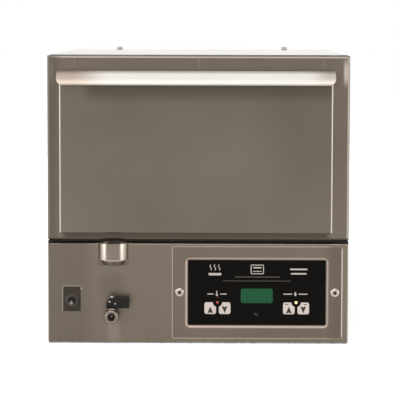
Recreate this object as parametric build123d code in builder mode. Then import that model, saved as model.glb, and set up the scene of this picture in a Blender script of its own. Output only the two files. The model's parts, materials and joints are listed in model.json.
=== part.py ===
from build123d import *
import os
from math import copysign, sqrt

# Warming drawer for one full-size food pan, in millimetres.
# X runs to the right, -Y to the user in front, Z up. The origin is the middle of the base's underside.

# Overall sizes
overall_width = 500
overall_depth = 660
overall_height = 480

# Sheets, bends and the gaps between pieces
casing_sheet = 1.2
liner_sheet = 1.0
base_sheet = 1.5
bend_radius = 3
running_gap = 0.3
seat_gap = 0.3
fit_play = 0.1

# Upright planes from front to back
drawer_front_depth = 22
gasket_thickness = 12.7
front_y = -overall_depth / 2
rear_y = overall_depth / 2
face_y = front_y + drawer_front_depth + gasket_thickness + running_gap
casing_front_y = face_y + casing_sheet
casing_rear_y = rear_y - casing_sheet

# Heights and half widths of the cabinet
half_width = overall_width / 2
inner_half_width = half_width - casing_sheet
base_height = 168
panel_bottom = 2
pan_flange = 22
return_flange = 15

# Heated chamber inside the upper section
side_wall = 60
top_wall = 46
rear_wall = 50
sill_height = 30
chamber_radius = 12
chamber_flange = 12
chamber_width = overall_width - 2 * side_wall
chamber_floor = base_height + sill_height
chamber_top = overall_height - top_wall
chamber_height = chamber_top - chamber_floor
chamber_rear_y = rear_y - rear_wall
chamber_middle = (chamber_floor + chamber_top) / 2

# Legs screw into the base
leg_stud_bore = 9.6
leg_spacing_x = 420
leg_spacing_y = 560
leg_nut_width = 16
leg_nut_height = 8

# Evaporator tank hung in the chamber floor
tank_width = 258
tank_length = 348
tank_depth = 60
tank_sheet = 1.2
tank_radius = 20
tank_flange = 14
tank_y = -28
tank_floor = chamber_floor - tank_depth
tank_clearance = 1.8

# Deck that carries the insulation over the base section
deck_top = tank_floor + 1
deck_flange = 20
deck_clearance = 5

# Fill cup, hoses and drain
cup_x = -half_width + 108.9
cup_y = front_y + 10
cup_radius = 24
cup_sheet = 1.2
cup_rim_z = base_height
cup_shoulder_z = 140.5
cup_bottom_z = 131.5
cup_bottom_radius = 18
cup_side_gap = 1.5
hose_outer = 8
hose_bore = 6
spigot_bore = 4.5
spigot_length = 18
hose_grip = 12
hose_drop = 40
hose_bend = 18
fill_spud_x = -90
fill_spud_y = tank_y - 157
drain_spud_x = -105
drain_spud_y = tank_y - 102
spud_length = 13

# Drain valve on the service panel
valve_x = cup_x - 1.9
valve_z = 48.4
valve_y = front_y - 18
valve_body_radius = 12
valve_mouth_radius = 9
valve_bore = 12.5
valve_bore_depth = 8
valve_mouth_length = 17
valve_lip = 2
valve_rear_radius = 8.6
valve_rear_length = 30
ball_valve_radius = 8.5
ball_valve_bore = 9
stem_radius = 3
stem_play = 0.05
neck_radius = 6.5
neck_top_z = valve_z + valve_body_radius + 1
lever_length = 29.2
lever_tail = 9
lever_height = 18
lever_depth = 11
lever_end_half = lever_depth / 3
lever_round = 3
lever_slope = 7
lever_nut_radius = 5
lever_nut_height = 2.5
drain_tube_radius = 7
drain_tube_bore = 5.6
drain_socket = 10
drain_bend = 25

# Control plate at the right of the service panel
plate_sheet = 1.2
plate_width = 283.9
plate_height = 155.5
plate_right_margin = 9.7
plate_bottom_z = 8.3
recess_width = 239.1
recess_height = 118.7
recess_depth = 3
recess_slope = 5.2
recess_radius = 8
recess_drop = 0.5
plate_x = half_width - plate_right_margin - plate_width / 2
plate_z = plate_bottom_z + plate_height / 2
plate_front_y = front_y - plate_sheet
recess_x = plate_x - recess_drop
recess_z = plate_z - recess_drop
field_width = recess_width - 2 * recess_slope
field_height = recess_height - 2 * recess_slope
field_y = plate_front_y + recess_depth
overlay_sheet = 0.8

# Keys, lamps and display, from the middle of the control field
key_width = 20.4
key_height = 21.5
key_pitch = 24
key_travel = 0.5
key_proud = 1.2
key_gap = 0.3
key_lip = 1
key_corner = 3
key_drop = 27
key_edge = 0.6
pair_spread = 65.5
left_pair_x = recess_x - pair_spread
right_pair_x = recess_x + pair_spread
keys_z = recess_z - key_drop
lamp_radius = 2.5
lamp_clearance = 8.3
lamp_z = keys_z + key_height / 2
lens_width = 53.9
lens_height = 24.8
lens_depth = 2
lens_z = recess_z - 5.3
board_gap = 9
board_sheet = 1.6
board_width = 200
board_height = 84
board_z = recess_z - 14
standoff_radius = 3.5
standoff_inset = 12
key_switch_width = 6
display_inset = 4
screw_head_radius = 7.3
screw_head_height = 2.4
screw_socket_floor = screw_head_height / 4
screw_shank_radius = 2.4
screw_length = 9
plate_screw_inset = 12.7

# Power switch at the left of the service panel
switch_x = -half_width + 39.8
switch_z = 72
switch_plate_width = 29
switch_plate_height = 41.6
switch_plate_sheet = 1
switch_plate_rise = 2.3
bush_radius = 6
bush_length = 9
bush_mouth_radius = 5.2
dress_ring_sheet = 1
switch_nut_width = 18
switch_nut_height = 2.4
dress_ring_radius = 11.4
switch_body_width = 18
switch_body_height = 30
switch_body_depth = 24
toggle_radius = 3.2
toggle_length = 13
toggle_neck_radius = 2.2
toggle_edge = 1
toggle_tilt = 12
toggle_ball_radius = 3.9
pivot_depth = 4

# Drawer front
drawer_bottom = base_height + 6
drawer_top = overall_height - 1
drawer_height = drawer_top - drawer_bottom
drawer_middle = (drawer_top + drawer_bottom) / 2
plate_inset = 1.5
plug_gap = 6
plug_depth = 28
plug_radius = 10
gasket_width = 18
gasket_inset = 1
gasket_top_inset = 2 * gasket_inset
gasket_round = 4
gasket_edge = 3
panel_side_margin = 23.5
panel_shift = -4
panel_bottom_margin = 11.3
panel_top_margin = 24.6
panel_depth = 6
panel_radius = 2.5
panel_y = front_y - panel_depth

# Pull along the top of the drawer front
pull_half_width = half_width - 20.75
pull_sheet = 1.5
pull_flange = 20
pull_arc_radius = 49
pull_start_slope = 15
pull_end_slope = 56
pull_bend_radius = 2.4
pull_corner = 12
pull_hem_radius = 2
pull_hem_turn = 120

# Telescopic slides: across the section u runs inward from the chamber wall, v up and down
rail_sheet = 1.6
ball_radius = 3
race_clearance = 0.2
race_sink = 1.2
slide_front_gap = 0.5
slide_rear_gap = 49.5
slide_top_gap = 49
web_side_land = 1.5
race_land = 0.83
flange_lip = 1
drawer_web_gap = 4.33
cage_lip = 0.4
inner_ball_v = 14
web_gap = 1.4
race_radius = ball_radius + race_clearance
flange_gap = race_radius - race_sink
flange_span = rail_sheet + 2 * flange_gap
outer_ball_v = inner_ball_v + flange_span
cage_sheet = 0.8
cage_web_sheet = 0.5
cage_length = 240
cage_front_gap = 126.5
cage_hole_play = 0.12
balls_in_row = 2
ball_pitch = 160

# Frame that carries the food pan between the slides
frame_sheet = 1.5
frame_height = 72
frame_rail_height = 30
frame_top_gap = 10
frame_rear_gap = 24
frame_radius = 6
ledge_width = 14
ledge_drop = 8
side_web = 16

# Heaters and probes
heater_radius = 4
heater_lift = 14
heater_bend = 25
heater_inset = 25
heater_front_gap = 50
heater_rear_gap = 65
clip_rows = 2
terminal_length = 22
heater_hole_play = 0.3
clip_width = 12
clip_length = 8
water_heater_lift = 9
water_heater_half_span = 60
water_heater_end_gap = 50
heater_gland_radius = 8
level_probe_x = 97.5
probe_nut_radius = 7.5
probe_nut_height = 5
probe_radius = 2.5
air_probe_x = 120
air_probe_reach = 26
level_probe_height = 24

# Electrics in the base and the cord's way in
transformer_size = (66, 56, 52)
relay_size = (58, 45, 30)
terminal_size = (70, 32, 26)
transformer_place = (60, -120)
relay_place = (60, 20)
terminal_place = (150, 200)
terminal_pitch = 14
terminal_poles = 4
terminal_pocket = 6
device_foot = 8
device_foot_sheet = 2
gland_x = 190
gland_z = 60
gland_bore = 9
gland_radius = 12
gland_neck_radius = 10
gland_collar = 2
gland_nut_width = 24
gland_nut_height = 6
louvre_length = 70
louvre_height = 5
louvre_pitch = 12
louvre_count = 6
stud_spacing = 323
stud_inset = 20
stud_height = 6
stud_radius = 5.5
stud_edge = 1.5
rear_screw_radius = 4
rear_screw_height = 2.4
rear_screw_rows = 3


def upright(y):
    """The vertical plane at depth y seen from the front; extruding from it goes toward the front."""
    return Plane.XZ.offset(-y)


def wrap_outline(inset):
    """Front outline of the cabinet drawn in by inset, with its two top corners bent."""
    with BuildSketch() as outline:
        with Locations((0, panel_bottom)):
            Rectangle(
                overall_width - 2 * inset,
                overall_height - inset - panel_bottom,
                align=(Align.CENTER, Align.MIN),
            )
        fillet(outline.vertices().group_by(Axis.Y)[-1], bend_radius - inset)
    return outline.sketch


def rounded_frame(width, height, radius, rim):
    """A rounded rectangle with a rim of the given width round a hole of the same form."""
    with BuildSketch() as frame:
        RectangleRounded(width + 2 * rim, height + 2 * rim, radius + rim)
        RectangleRounded(width, height, radius, mode=Mode.SUBTRACT)
    return frame.sketch


def tube_along(points, bend, outer, bore=0):
    """A round tube or rod along straight runs that are joined by arcs of the given bend radius."""
    with BuildPart() as tube:
        with BuildLine():
            route = FilletPolyline(*points, radius=bend)
        with BuildSketch(Plane(origin=route @ 0, z_dir=route % 0)):
            Circle(outer)
            if bore:
                Circle(bore, mode=Mode.SUBTRACT)
        sweep()
    return tube.part


# Cabinet shell

# The wrap of top and sides, open in front and below, with a flange turned in at the back
with BuildPart() as outer_casing:
    with BuildSketch(upright(casing_rear_y)):
        add(wrap_outline(0))
        with Locations((0, (overall_height - casing_sheet) / 2)):
            Rectangle(2 * inner_half_width, overall_height - casing_sheet, mode=Mode.SUBTRACT)
    extrude(amount=casing_rear_y - casing_front_y)
    with BuildSketch(upright(casing_rear_y)):
        add(wrap_outline(casing_sheet))
        with Locations((0, (overall_height - casing_sheet - return_flange) / 2)):
            Rectangle(
                2 * (inner_half_width - return_flange),
                overall_height - casing_sheet - return_flange,
                mode=Mode.SUBTRACT,
            )
    extrude(amount=casing_sheet)

# The flat frame round the chamber mouth, which the gasket closes on
with BuildPart() as face_frame:
    with BuildSketch(upright(casing_front_y)):
        add(wrap_outline(0))
        with Locations((0, base_height / 2)):
            Rectangle(overall_width, base_height, mode=Mode.SUBTRACT)
        with Locations((0, chamber_middle)):
            RectangleRounded(chamber_width, chamber_height, chamber_radius, mode=Mode.SUBTRACT)
    extrude(amount=casing_sheet)

# The tray underneath, with its rim turned up and weld nuts over the leg holes
with BuildPart() as base_pan:
    base_front_y = front_y + casing_sheet
    base_rear_y = casing_rear_y - casing_sheet
    with BuildSketch():
        with Locations((0, (base_front_y + base_rear_y) / 2)):
            RectangleRounded(2 * inner_half_width, base_rear_y - base_front_y, bend_radius)
    extrude(amount=pan_flange)
    offset(amount=-base_sheet, openings=faces().sort_by(Axis.Z)[-1])
    with BuildSketch(Plane.XY.offset(base_sheet)):
        with GridLocations(leg_spacing_x, leg_spacing_y, 2, 2):
            RegularPolygon(leg_nut_width / 2, 6, major_radius=False)
    extrude(amount=leg_nut_height)
    with GridLocations(leg_spacing_x, leg_spacing_y, 2, 2):
        Hole(leg_stud_bore / 2)

# The front of the base section: folded back at the sides and the top, open behind and below
recess_front_width = recess_width + 2 * plate_sheet
recess_front_height = recess_height + 2 * plate_sheet
with BuildPart() as service_panel:
    with BuildSketch(upright(casing_front_y)):
        with Locations((0, panel_bottom)):
            Rectangle(overall_width, base_height - panel_bottom, align=(Align.CENTER, Align.MIN))
    extrude(amount=casing_front_y - front_y)
    front_edges = service_panel.faces().sort_by(Axis.Y)[0].edges()
    fillet(front_edges.sort_by(Axis.Z)[1:], bend_radius)
    back_face = service_panel.faces().sort_by(Axis.Y)[-1]
    bottom_face = service_panel.faces().sort_by(Axis.Z)[0]
    offset(amount=-casing_sheet, openings=[back_face, bottom_face])
    notch_bottom = cup_bottom_z - seat_gap
    with BuildSketch(Plane.XY.offset(notch_bottom)):
        with Locations((cup_x, cup_y)):
            Circle(cup_radius + cup_side_gap)
        with Locations((cup_x, front_y)):
            Rectangle(2 * (cup_radius + cup_side_gap), 2 * (cup_y - front_y))
    extrude(amount=base_height - notch_bottom, mode=Mode.SUBTRACT)
    with BuildSketch(upright(front_y + casing_sheet)):
        with Locations((valve_x, valve_z)):
            Circle(valve_rear_radius + running_gap)
        with Locations((switch_x, switch_z)):
            Circle(bush_radius + running_gap)
        with Locations((recess_x, recess_z)):
            RectangleRounded(
                recess_front_width + 2 * running_gap, recess_front_height + 2 * running_gap, recess_radius
            )
        with Locations((plate_x, plate_z)):
            with GridLocations(plate_width - 2 * plate_screw_inset, 1, 2, 1):
                Circle(screw_shank_radius + running_gap)
    extrude(amount=casing_sheet, mode=Mode.SUBTRACT)

# The back, with louvre slots for the electrics and the hole of the cord gland
with BuildPart() as rear_panel:
    with BuildSketch(upright(rear_y)):
        add(wrap_outline(0))
        with Locations((gland_x, gland_z)):
            Circle(gland_neck_radius + running_gap, mode=Mode.SUBTRACT)
        with Locations((0, gland_z + louvre_pitch)):
            with GridLocations(2 * louvre_length, louvre_pitch, 2, louvre_count):
                Rectangle(louvre_length, louvre_height, mode=Mode.SUBTRACT)
    extrude(amount=casing_sheet)

# Screws that hold the rear panel to the wrap's flange
rear_screw_x = inner_half_width - return_flange / 2
with BuildPart() as rear_screws:
    with BuildSketch(upright(rear_y)):
        with Locations((0, overall_height / 2)):
            with GridLocations(2 * rear_screw_x, overall_height / 2 - return_flange, 2, rear_screw_rows):
                RegularPolygon(rear_screw_radius, 6)
    extrude(amount=-rear_screw_height)

# The deck over the base section, with an opening for the tank
with BuildPart() as base_deck:
    with BuildSketch(Plane.XY.offset(deck_top - deck_flange)):
        with Locations((0, (casing_front_y + base_rear_y) / 2)):
            Rectangle(2 * inner_half_width, base_rear_y - casing_front_y)
    extrude(amount=deck_flange)
    offset(amount=-casing_sheet, openings=base_deck.faces().sort_by(Axis.Z)[0])
    with BuildSketch(Plane.XY.offset(deck_top)):
        with Locations((0, tank_y)):
            RectangleRounded(
                tank_width + 2 * deck_clearance,
                tank_length + 2 * deck_clearance,
                tank_radius + deck_clearance,
            )
    extrude(amount=-casing_sheet, mode=Mode.SUBTRACT)

# Studs on the rear edge of the top
with BuildPart() as top_studs:
    with BuildSketch(Plane.XY.offset(overall_height)):
        with Locations((0, rear_y - stud_inset)):
            with GridLocations(stud_spacing, 1, 2, 1):
                Circle(stud_radius)
    extrude(amount=stud_height)
    chamfer(top_studs.edges().group_by(Axis.Z)[-1], stud_edge)

# Heated chamber
air_heater_x = chamber_width / 2 - heater_inset

# The liner: a drawn box open in front, flanged behind the face frame, with the tank's opening in its floor
with BuildPart() as chamber_liner:
    with BuildSketch(upright(chamber_rear_y + liner_sheet)):
        with Locations((0, chamber_middle)):
            RectangleRounded(
                chamber_width + 2 * liner_sheet,
                chamber_height + 2 * liner_sheet,
                chamber_radius + liner_sheet,
            )
    extrude(amount=chamber_rear_y + liner_sheet - casing_front_y)
    with BuildSketch(upright(chamber_rear_y)):
        with Locations((0, chamber_middle)):
            RectangleRounded(chamber_width, chamber_height, chamber_radius)
    extrude(amount=chamber_rear_y - casing_front_y, mode=Mode.SUBTRACT)
    with BuildSketch(upright(casing_front_y + liner_sheet)):
        with Locations((0, chamber_middle)):
            add(rounded_frame(chamber_width, chamber_height, chamber_radius, chamber_flange))
    extrude(amount=liner_sheet)
    with BuildSketch(Plane.XY.offset(chamber_floor)):
        with Locations((0, tank_y)):
            RectangleRounded(
                tank_width + 2 * (tank_sheet + tank_clearance),
                tank_length + 2 * (tank_sheet + tank_clearance),
                tank_radius,
            )
    extrude(amount=-liner_sheet, mode=Mode.SUBTRACT)
    with BuildSketch(upright(chamber_rear_y + liner_sheet)):
        with Locations((0, chamber_floor + heater_lift)):
            with GridLocations(2 * air_heater_x, 1, 2, 1):
                Circle(heater_radius + heater_hole_play)
        with Locations((air_probe_x, chamber_middle)):
            Circle(probe_radius + heater_hole_play)
    extrude(amount=liner_sheet, mode=Mode.SUBTRACT)

# Insulation that fills the walls round the liner, cut away for the tank, the heater ends and the probe
tank_rear_y = tank_y + tank_length / 2
water_heater_z = tank_floor + water_heater_lift
water_heater_end_y = tank_rear_y + tank_sheet + terminal_length
gland_pocket = 2 * (heater_gland_radius + deck_clearance)
heater_pocket = 4 * heater_radius
with BuildPart() as insulation_jacket:
    jacket_front_y = casing_front_y + liner_sheet + seat_gap
    jacket_rear_y = casing_rear_y - casing_sheet - seat_gap
    with BuildSketch(Plane.XY.offset(deck_top + seat_gap)):
        with Locations((0, (jacket_front_y + jacket_rear_y) / 2)):
            Rectangle(2 * (inner_half_width - seat_gap), jacket_rear_y - jacket_front_y)
    extrude(amount=overall_height - casing_sheet - deck_top - 2 * seat_gap)
    fillet(insulation_jacket.edges().filter_by(Axis.Y).group_by(Axis.Z)[-1], bend_radius)
    with BuildSketch(upright(chamber_rear_y + liner_sheet + seat_gap)):
        with Locations((0, chamber_middle)):
            RectangleRounded(
                chamber_width + 2 * (liner_sheet + seat_gap),
                chamber_height + 2 * (liner_sheet + seat_gap),
                chamber_radius + liner_sheet + seat_gap,
            )
    extrude(amount=chamber_rear_y - jacket_front_y + 2 * liner_sheet, mode=Mode.SUBTRACT)
    with BuildSketch(Plane.XY.offset(deck_top)):
        with Locations((0, tank_y)):
            RectangleRounded(
                tank_width + 2 * deck_clearance,
                tank_length + 2 * deck_clearance,
                tank_radius + deck_clearance,
            )
    extrude(amount=chamber_floor - deck_top, mode=Mode.SUBTRACT)
    with BuildSketch(upright(water_heater_end_y + deck_clearance)):
        with Locations((0, water_heater_z)):
            with GridLocations(2 * water_heater_half_span, 1, 2, 1):
                Rectangle(gland_pocket, gland_pocket)
    extrude(amount=water_heater_end_y - tank_y, mode=Mode.SUBTRACT)
    with BuildSketch(upright(jacket_rear_y)):
        with Locations((0, chamber_floor + heater_lift)):
            with GridLocations(2 * air_heater_x, 1, 2, 1):
                Rectangle(heater_pocket, heater_pocket)
        with Locations((air_probe_x, chamber_middle)):
            Circle(2 * probe_radius)
    extrude(amount=jacket_rear_y - chamber_rear_y, mode=Mode.SUBTRACT)

# The evaporator tank, flanged on the chamber floor, with a fill and a drain spud
with BuildPart() as evaporator_tank:
    with BuildSketch(Plane.XY.offset(tank_floor - tank_sheet)):
        with Locations((0, tank_y)):
            RectangleRounded(
                tank_width + 2 * tank_sheet, tank_length + 2 * tank_sheet, tank_radius + tank_sheet
            )
    extrude(amount=tank_depth + 2 * tank_sheet)
    with BuildSketch(Plane.XY.offset(chamber_floor)):
        with Locations((0, tank_y)):
            RectangleRounded(
                tank_width + 2 * tank_flange, tank_length + 2 * tank_flange, tank_radius + tank_flange
            )
    extrude(amount=tank_sheet)
    with BuildSketch(Plane.XY.offset(tank_floor)):
        with Locations((0, tank_y)):
            RectangleRounded(tank_width, tank_length, tank_radius)
    extrude(amount=tank_depth + tank_sheet, mode=Mode.SUBTRACT)
    with BuildSketch(Plane.XY.offset(tank_floor - tank_sheet)):
        with Locations((fill_spud_x, fill_spud_y)):
            Circle(hose_bore - fit_play)
        with Locations((drain_spud_x, drain_spud_y)):
            Circle(drain_tube_bore - fit_play)
    extrude(amount=-spud_length)
    with Locations((fill_spud_x, fill_spud_y, tank_floor), (drain_spud_x, drain_spud_y, tank_floor)):
        Hole(spigot_bore, depth=spud_length + 2 * tank_sheet)
    with BuildSketch(upright(tank_rear_y + tank_sheet)):
        with Locations((0, water_heater_z)):
            with GridLocations(2 * water_heater_half_span, 1, 2, 1):
                Circle(heater_radius + heater_hole_play)
    extrude(amount=tank_sheet, mode=Mode.SUBTRACT)

# The immersed heater: one hairpin through the tank's back wall, with a gland flange on each leg
water_heater_tip_y = tank_y - tank_length / 2 + water_heater_end_gap
with BuildPart() as water_heater:
    add(
        tube_along(
            [
                (-water_heater_half_span, water_heater_end_y, water_heater_z),
                (-water_heater_half_span, water_heater_tip_y, water_heater_z),
                (water_heater_half_span, water_heater_tip_y, water_heater_z),
                (water_heater_half_span, water_heater_end_y, water_heater_z),
            ],
            heater_bend,
            heater_radius,
        )
    )
    with BuildSketch(upright(tank_rear_y + tank_sheet)):
        with Locations((0, water_heater_z)):
            with GridLocations(2 * water_heater_half_span, 1, 2, 1):
                RegularPolygon(heater_gland_radius, 6)
    extrude(amount=-heater_radius)

# The air heater: a U round the tank on the chamber floor, its two ends through the back wall
air_heater_z = chamber_floor + heater_lift
air_heater_front_y = face_y + heater_front_gap
air_heater_rear_y = chamber_rear_y - heater_rear_gap
air_heater_end_y = chamber_rear_y + terminal_length
heater_run = air_heater_rear_y - air_heater_front_y
with BuildPart() as air_heater:
    add(
        tube_along(
            [
                (-air_heater_x, air_heater_end_y, air_heater_z),
                (-air_heater_x, air_heater_front_y, air_heater_z),
                (air_heater_x, air_heater_front_y, air_heater_z),
                (air_heater_x, air_heater_end_y, air_heater_z),
            ],
            heater_bend,
            heater_radius,
        )
    )

# Saddle clips that hold the air heater off the chamber floor
with BuildPart() as heater_clips:
    with BuildSketch(Plane.XY.offset(chamber_floor)):
        with Locations((0, (air_heater_front_y + air_heater_rear_y) / 2)):
            with GridLocations(2 * air_heater_x, heater_run / clip_rows, 2, clip_rows):
                Rectangle(clip_width, clip_length)
    extrude(amount=heater_lift)
    with BuildSketch(upright(air_heater_rear_y)):
        with Locations((0, air_heater_z)):
            with GridLocations(2 * air_heater_x, 1, 2, 1):
                Circle(heater_radius + fit_play)
    extrude(amount=heater_run, both=True, mode=Mode.SUBTRACT)

# Temperature probe in the chamber air, through the back wall
with BuildPart() as air_probe:
    with BuildSketch(upright(chamber_rear_y + liner_sheet + terminal_length)):
        with Locations((air_probe_x, chamber_middle)):
            Circle(probe_radius)
    extrude(amount=air_probe_reach + liner_sheet + terminal_length)
    with BuildSketch(upright(chamber_rear_y)):
        with Locations((air_probe_x, chamber_middle)):
            RegularPolygon(probe_nut_radius, 6)
    extrude(amount=probe_nut_height / 2)

# Water level probe that stands in the tank, screwed in from below
with BuildPart() as level_probe:
    with BuildSketch(Plane.XY.offset(tank_floor)):
        with Locations((level_probe_x, tank_y)):
            RegularPolygon(probe_nut_radius, 6)
    extrude(amount=probe_nut_height)
    with BuildSketch(Plane.XY.offset(tank_floor)):
        with Locations((level_probe_x, tank_y)):
            Circle(probe_radius)
    extrude(amount=level_probe_height)

# Filling and draining

# The fill cup, turned from tube, with a tapered foot and a spigot
with BuildPart() as fill_cup:
    with BuildSketch(Plane.XZ):
        with BuildLine():
            Polyline(
                (0, cup_rim_z),
                (cup_radius, cup_rim_z),
                (cup_radius, cup_shoulder_z),
                (cup_bottom_radius, cup_bottom_z),
                (hose_bore - fit_play, cup_bottom_z),
                (hose_bore - fit_play, cup_bottom_z - spigot_length),
                (0, cup_bottom_z - spigot_length),
                close=True,
            )
        make_face()
    revolve(axis=Axis.Z)
    with BuildSketch(Plane.XZ):
        with BuildLine():
            Polyline(
                (0, cup_rim_z),
                (cup_radius - cup_sheet, cup_rim_z),
                (cup_radius - cup_sheet, cup_shoulder_z),
                (cup_bottom_radius - cup_sheet, cup_bottom_z + cup_sheet),
                (spigot_bore, cup_bottom_z + cup_sheet),
                (spigot_bore, cup_bottom_z - spigot_length),
                (0, cup_bottom_z - spigot_length),
                close=True,
            )
        make_face()
    revolve(axis=Axis.Z, mode=Mode.SUBTRACT)
fill_cup.part.locate(Location((cup_x, cup_y, 0)))

# Hose from the cup's spigot down and back up to the tank's fill spud
hose_low_z = cup_bottom_z - hose_drop
with BuildPart() as fill_tube:
    add(
        tube_along(
            [
                (cup_x, cup_y, cup_bottom_z - spigot_length + hose_grip),
                (cup_x, cup_y, hose_low_z),
                (fill_spud_x, fill_spud_y, hose_low_z),
                (fill_spud_x, fill_spud_y, tank_floor - tank_sheet - seat_gap),
            ],
            hose_bend,
            hose_outer,
            hose_bore,
        )
    )

# Rigid drain tube from the tank's drain spud to the socket of the valve
valve_rear_y = front_y + valve_rear_length
with BuildPart() as drain_tube:
    add(
        tube_along(
            [
                (drain_spud_x, drain_spud_y, tank_floor - tank_sheet - seat_gap),
                (drain_spud_x, drain_spud_y, valve_z),
                (valve_x, valve_rear_y + 2 * drain_bend, valve_z),
                (valve_x, valve_rear_y - drain_socket + seat_gap, valve_z),
            ],
            drain_bend,
            drain_tube_radius,
            drain_tube_bore,
        )
    )

# Valve body: a turned barrel with a mouth ring, a cavity for the ball, a neck for the stem and a rear socket
valve_front_y = valve_y - valve_mouth_length
with BuildPart() as drain_valve_body:
    with BuildSketch(Plane.XY):
        with BuildLine():
            Polyline(
                (0, valve_front_y),
                (valve_mouth_radius, valve_front_y),
                (valve_mouth_radius, valve_front_y + valve_lip),
                (valve_body_radius, valve_front_y + 2 * valve_lip),
                (valve_body_radius, front_y),
                (valve_rear_radius, front_y),
                (valve_rear_radius, valve_rear_y),
                (0, valve_rear_y),
                close=True,
            )
        make_face()
    revolve(axis=Axis.Y)
    with BuildSketch(Plane.XY):
        with Locations((0, valve_y)):
            Circle(neck_radius)
    extrude(amount=neck_top_z - valve_z)
    with BuildSketch(Plane.XY):
        with BuildLine():
            Polyline(
                (0, valve_front_y),
                (valve_bore / 2, valve_front_y),
                (valve_bore / 2, valve_front_y + valve_bore_depth),
                (ball_valve_bore / 2, valve_front_y + valve_bore_depth),
                (ball_valve_bore / 2, valve_y),
                (drain_tube_bore, valve_y),
                (drain_tube_bore, valve_rear_y - drain_socket),
                (drain_tube_radius + stem_play, valve_rear_y - drain_socket),
                (drain_tube_radius + stem_play, valve_rear_y),
                (0, valve_rear_y),
                close=True,
            )
        make_face()
    revolve(axis=Axis.Y, mode=Mode.SUBTRACT)
    with Locations((0, valve_y, 0)):
        Sphere(ball_valve_radius + fit_play, mode=Mode.SUBTRACT)
        Cylinder(
            stem_radius + stem_play,
            neck_top_z - valve_z,
            align=(Align.CENTER, Align.CENTER, Align.MIN),
            mode=Mode.SUBTRACT,
        )
drain_valve_body.part.locate(Location((valve_x, 0, valve_z)))

# The ball with its cross bore, and the stem that turns it; shut, the bore lies across the barrel
stem_top_z = neck_top_z + lever_height - stem_radius
with BuildPart() as drain_valve_ball:
    with Locations((valve_x, valve_y, valve_z)):
        Sphere(ball_valve_radius)
        Cylinder(stem_radius, stem_top_z - valve_z, align=(Align.CENTER, Align.CENTER, Align.MIN))
        Cylinder(ball_valve_bore / 2, 2 * ball_valve_radius, rotation=(0, 90, 0), mode=Mode.SUBTRACT)

# The lever: a blade that narrows to a round end, with a boss over the stem
lever_bottom_z = neck_top_z + seat_gap
with BuildPart() as drain_valve_lever:
    with BuildSketch(Plane.XY.offset(lever_bottom_z)):
        with BuildLine():
            Polyline(
                (-lever_tail, -lever_depth / 2),
                (lever_length, -lever_end_half),
                (lever_length, lever_end_half),
                (-lever_tail, lever_depth / 2),
                close=True,
            )
        make_face()
    extrude(amount=lever_height)
    tail_edges = drain_valve_lever.edges().filter_by(Axis.Y).group_by(Axis.X)[0]
    chamfer(tail_edges.sort_by(Axis.Z)[-1], lever_slope, lever_height / 2)
    fillet(drain_valve_lever.edges().filter_by(Axis.Z), lever_round)
    with Locations((0, 0, lever_bottom_z)):
        Hole(stem_radius + stem_play)
drain_valve_lever.part.locate(Location((valve_x, valve_y, 0)))

# Nut on the stem over the lever
with BuildPart() as drain_lever_nut:
    with BuildSketch(Plane.XY.offset(lever_bottom_z + lever_height)):
        with Locations((valve_x, valve_y)):
            RegularPolygon(lever_nut_radius, 6)
    extrude(amount=lever_nut_height)

# Controls

# The control plate: flat sheet with a drawn, sloped recess whose floor carries keys, lamps and display
recess_floor_y = field_y + plate_sheet
board_front_y = recess_floor_y + board_gap
lamp_places = [(left_pair_x, lamp_z), (right_pair_x, lamp_z)]
pair_places = (left_pair_x, right_pair_x)
key_places = [(x + side * key_pitch / 2, keys_z) for x in pair_places for side in (-1, 1)]
with BuildPart() as control_plate:
    with BuildSketch(upright(front_y)):
        with Locations((plate_x, plate_z)):
            RectangleRounded(plate_width, plate_height, bend_radius)
            with GridLocations(plate_width - 2 * plate_screw_inset, 1, 2, 1):
                Circle(screw_shank_radius + running_gap, mode=Mode.SUBTRACT)
    extrude(amount=plate_sheet)
    with BuildSketch(upright(plate_front_y)):
        with Locations((recess_x, recess_z)):
            RectangleRounded(recess_front_width, recess_front_height, recess_radius + plate_sheet)
    with BuildSketch(upright(recess_floor_y)):
        with Locations((recess_x, recess_z)):
            RectangleRounded(field_width + 2 * plate_sheet, field_height + 2 * plate_sheet, 2 * plate_sheet)
    loft()
    with BuildSketch(upright(plate_front_y)):
        with Locations((recess_x, recess_z)):
            RectangleRounded(recess_width, recess_height, recess_radius)
    with BuildSketch(upright(field_y)):
        with Locations((recess_x, recess_z)):
            RectangleRounded(field_width, field_height, plate_sheet)
    loft(mode=Mode.SUBTRACT)
    with BuildSketch(upright(recess_floor_y)):
        with Locations(*key_places):
            Rectangle(key_width + 2 * key_gap, key_height + 2 * key_gap)
        with Locations(*lamp_places):
            Circle(lamp_radius + fit_play)
        with Locations((recess_x, lens_z)):
            Rectangle(lens_width + 2 * fit_play, lens_height + 2 * fit_play)
    extrude(amount=plate_sheet, mode=Mode.SUBTRACT)
    with BuildSketch(upright(board_front_y)):
        with Locations((recess_x, board_z)):
            with GridLocations(board_width - standoff_inset, board_height - standoff_inset, 2, 2):
                RegularPolygon(standoff_radius, 6)
    extrude(amount=board_gap)

# The printed sheet over the recess floor, cut out for keys, lamps and display
with BuildPart() as control_overlay:
    with BuildSketch(upright(field_y)):
        with Locations((recess_x, recess_z)):
            RectangleRounded(field_width - 2 * fit_play, field_height - 2 * fit_play, plate_sheet)
        with Locations(*key_places):
            RectangleRounded(
                key_width + 2 * key_gap, key_height + 2 * key_gap, key_corner, mode=Mode.SUBTRACT
            )
        with Locations(*lamp_places):
            Circle(lamp_radius + fit_play, mode=Mode.SUBTRACT)
        with Locations((recess_x, lens_z)):
            Rectangle(lens_width + 2 * fit_play, lens_height + 2 * fit_play, mode=Mode.SUBTRACT)
    extrude(amount=overlay_sheet)

# The lens over the display
with BuildPart() as display_lens:
    with BuildSketch(upright(recess_floor_y)):
        with Locations((recess_x, lens_z)):
            Rectangle(lens_width, lens_height)
    extrude(amount=lens_depth)


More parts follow.
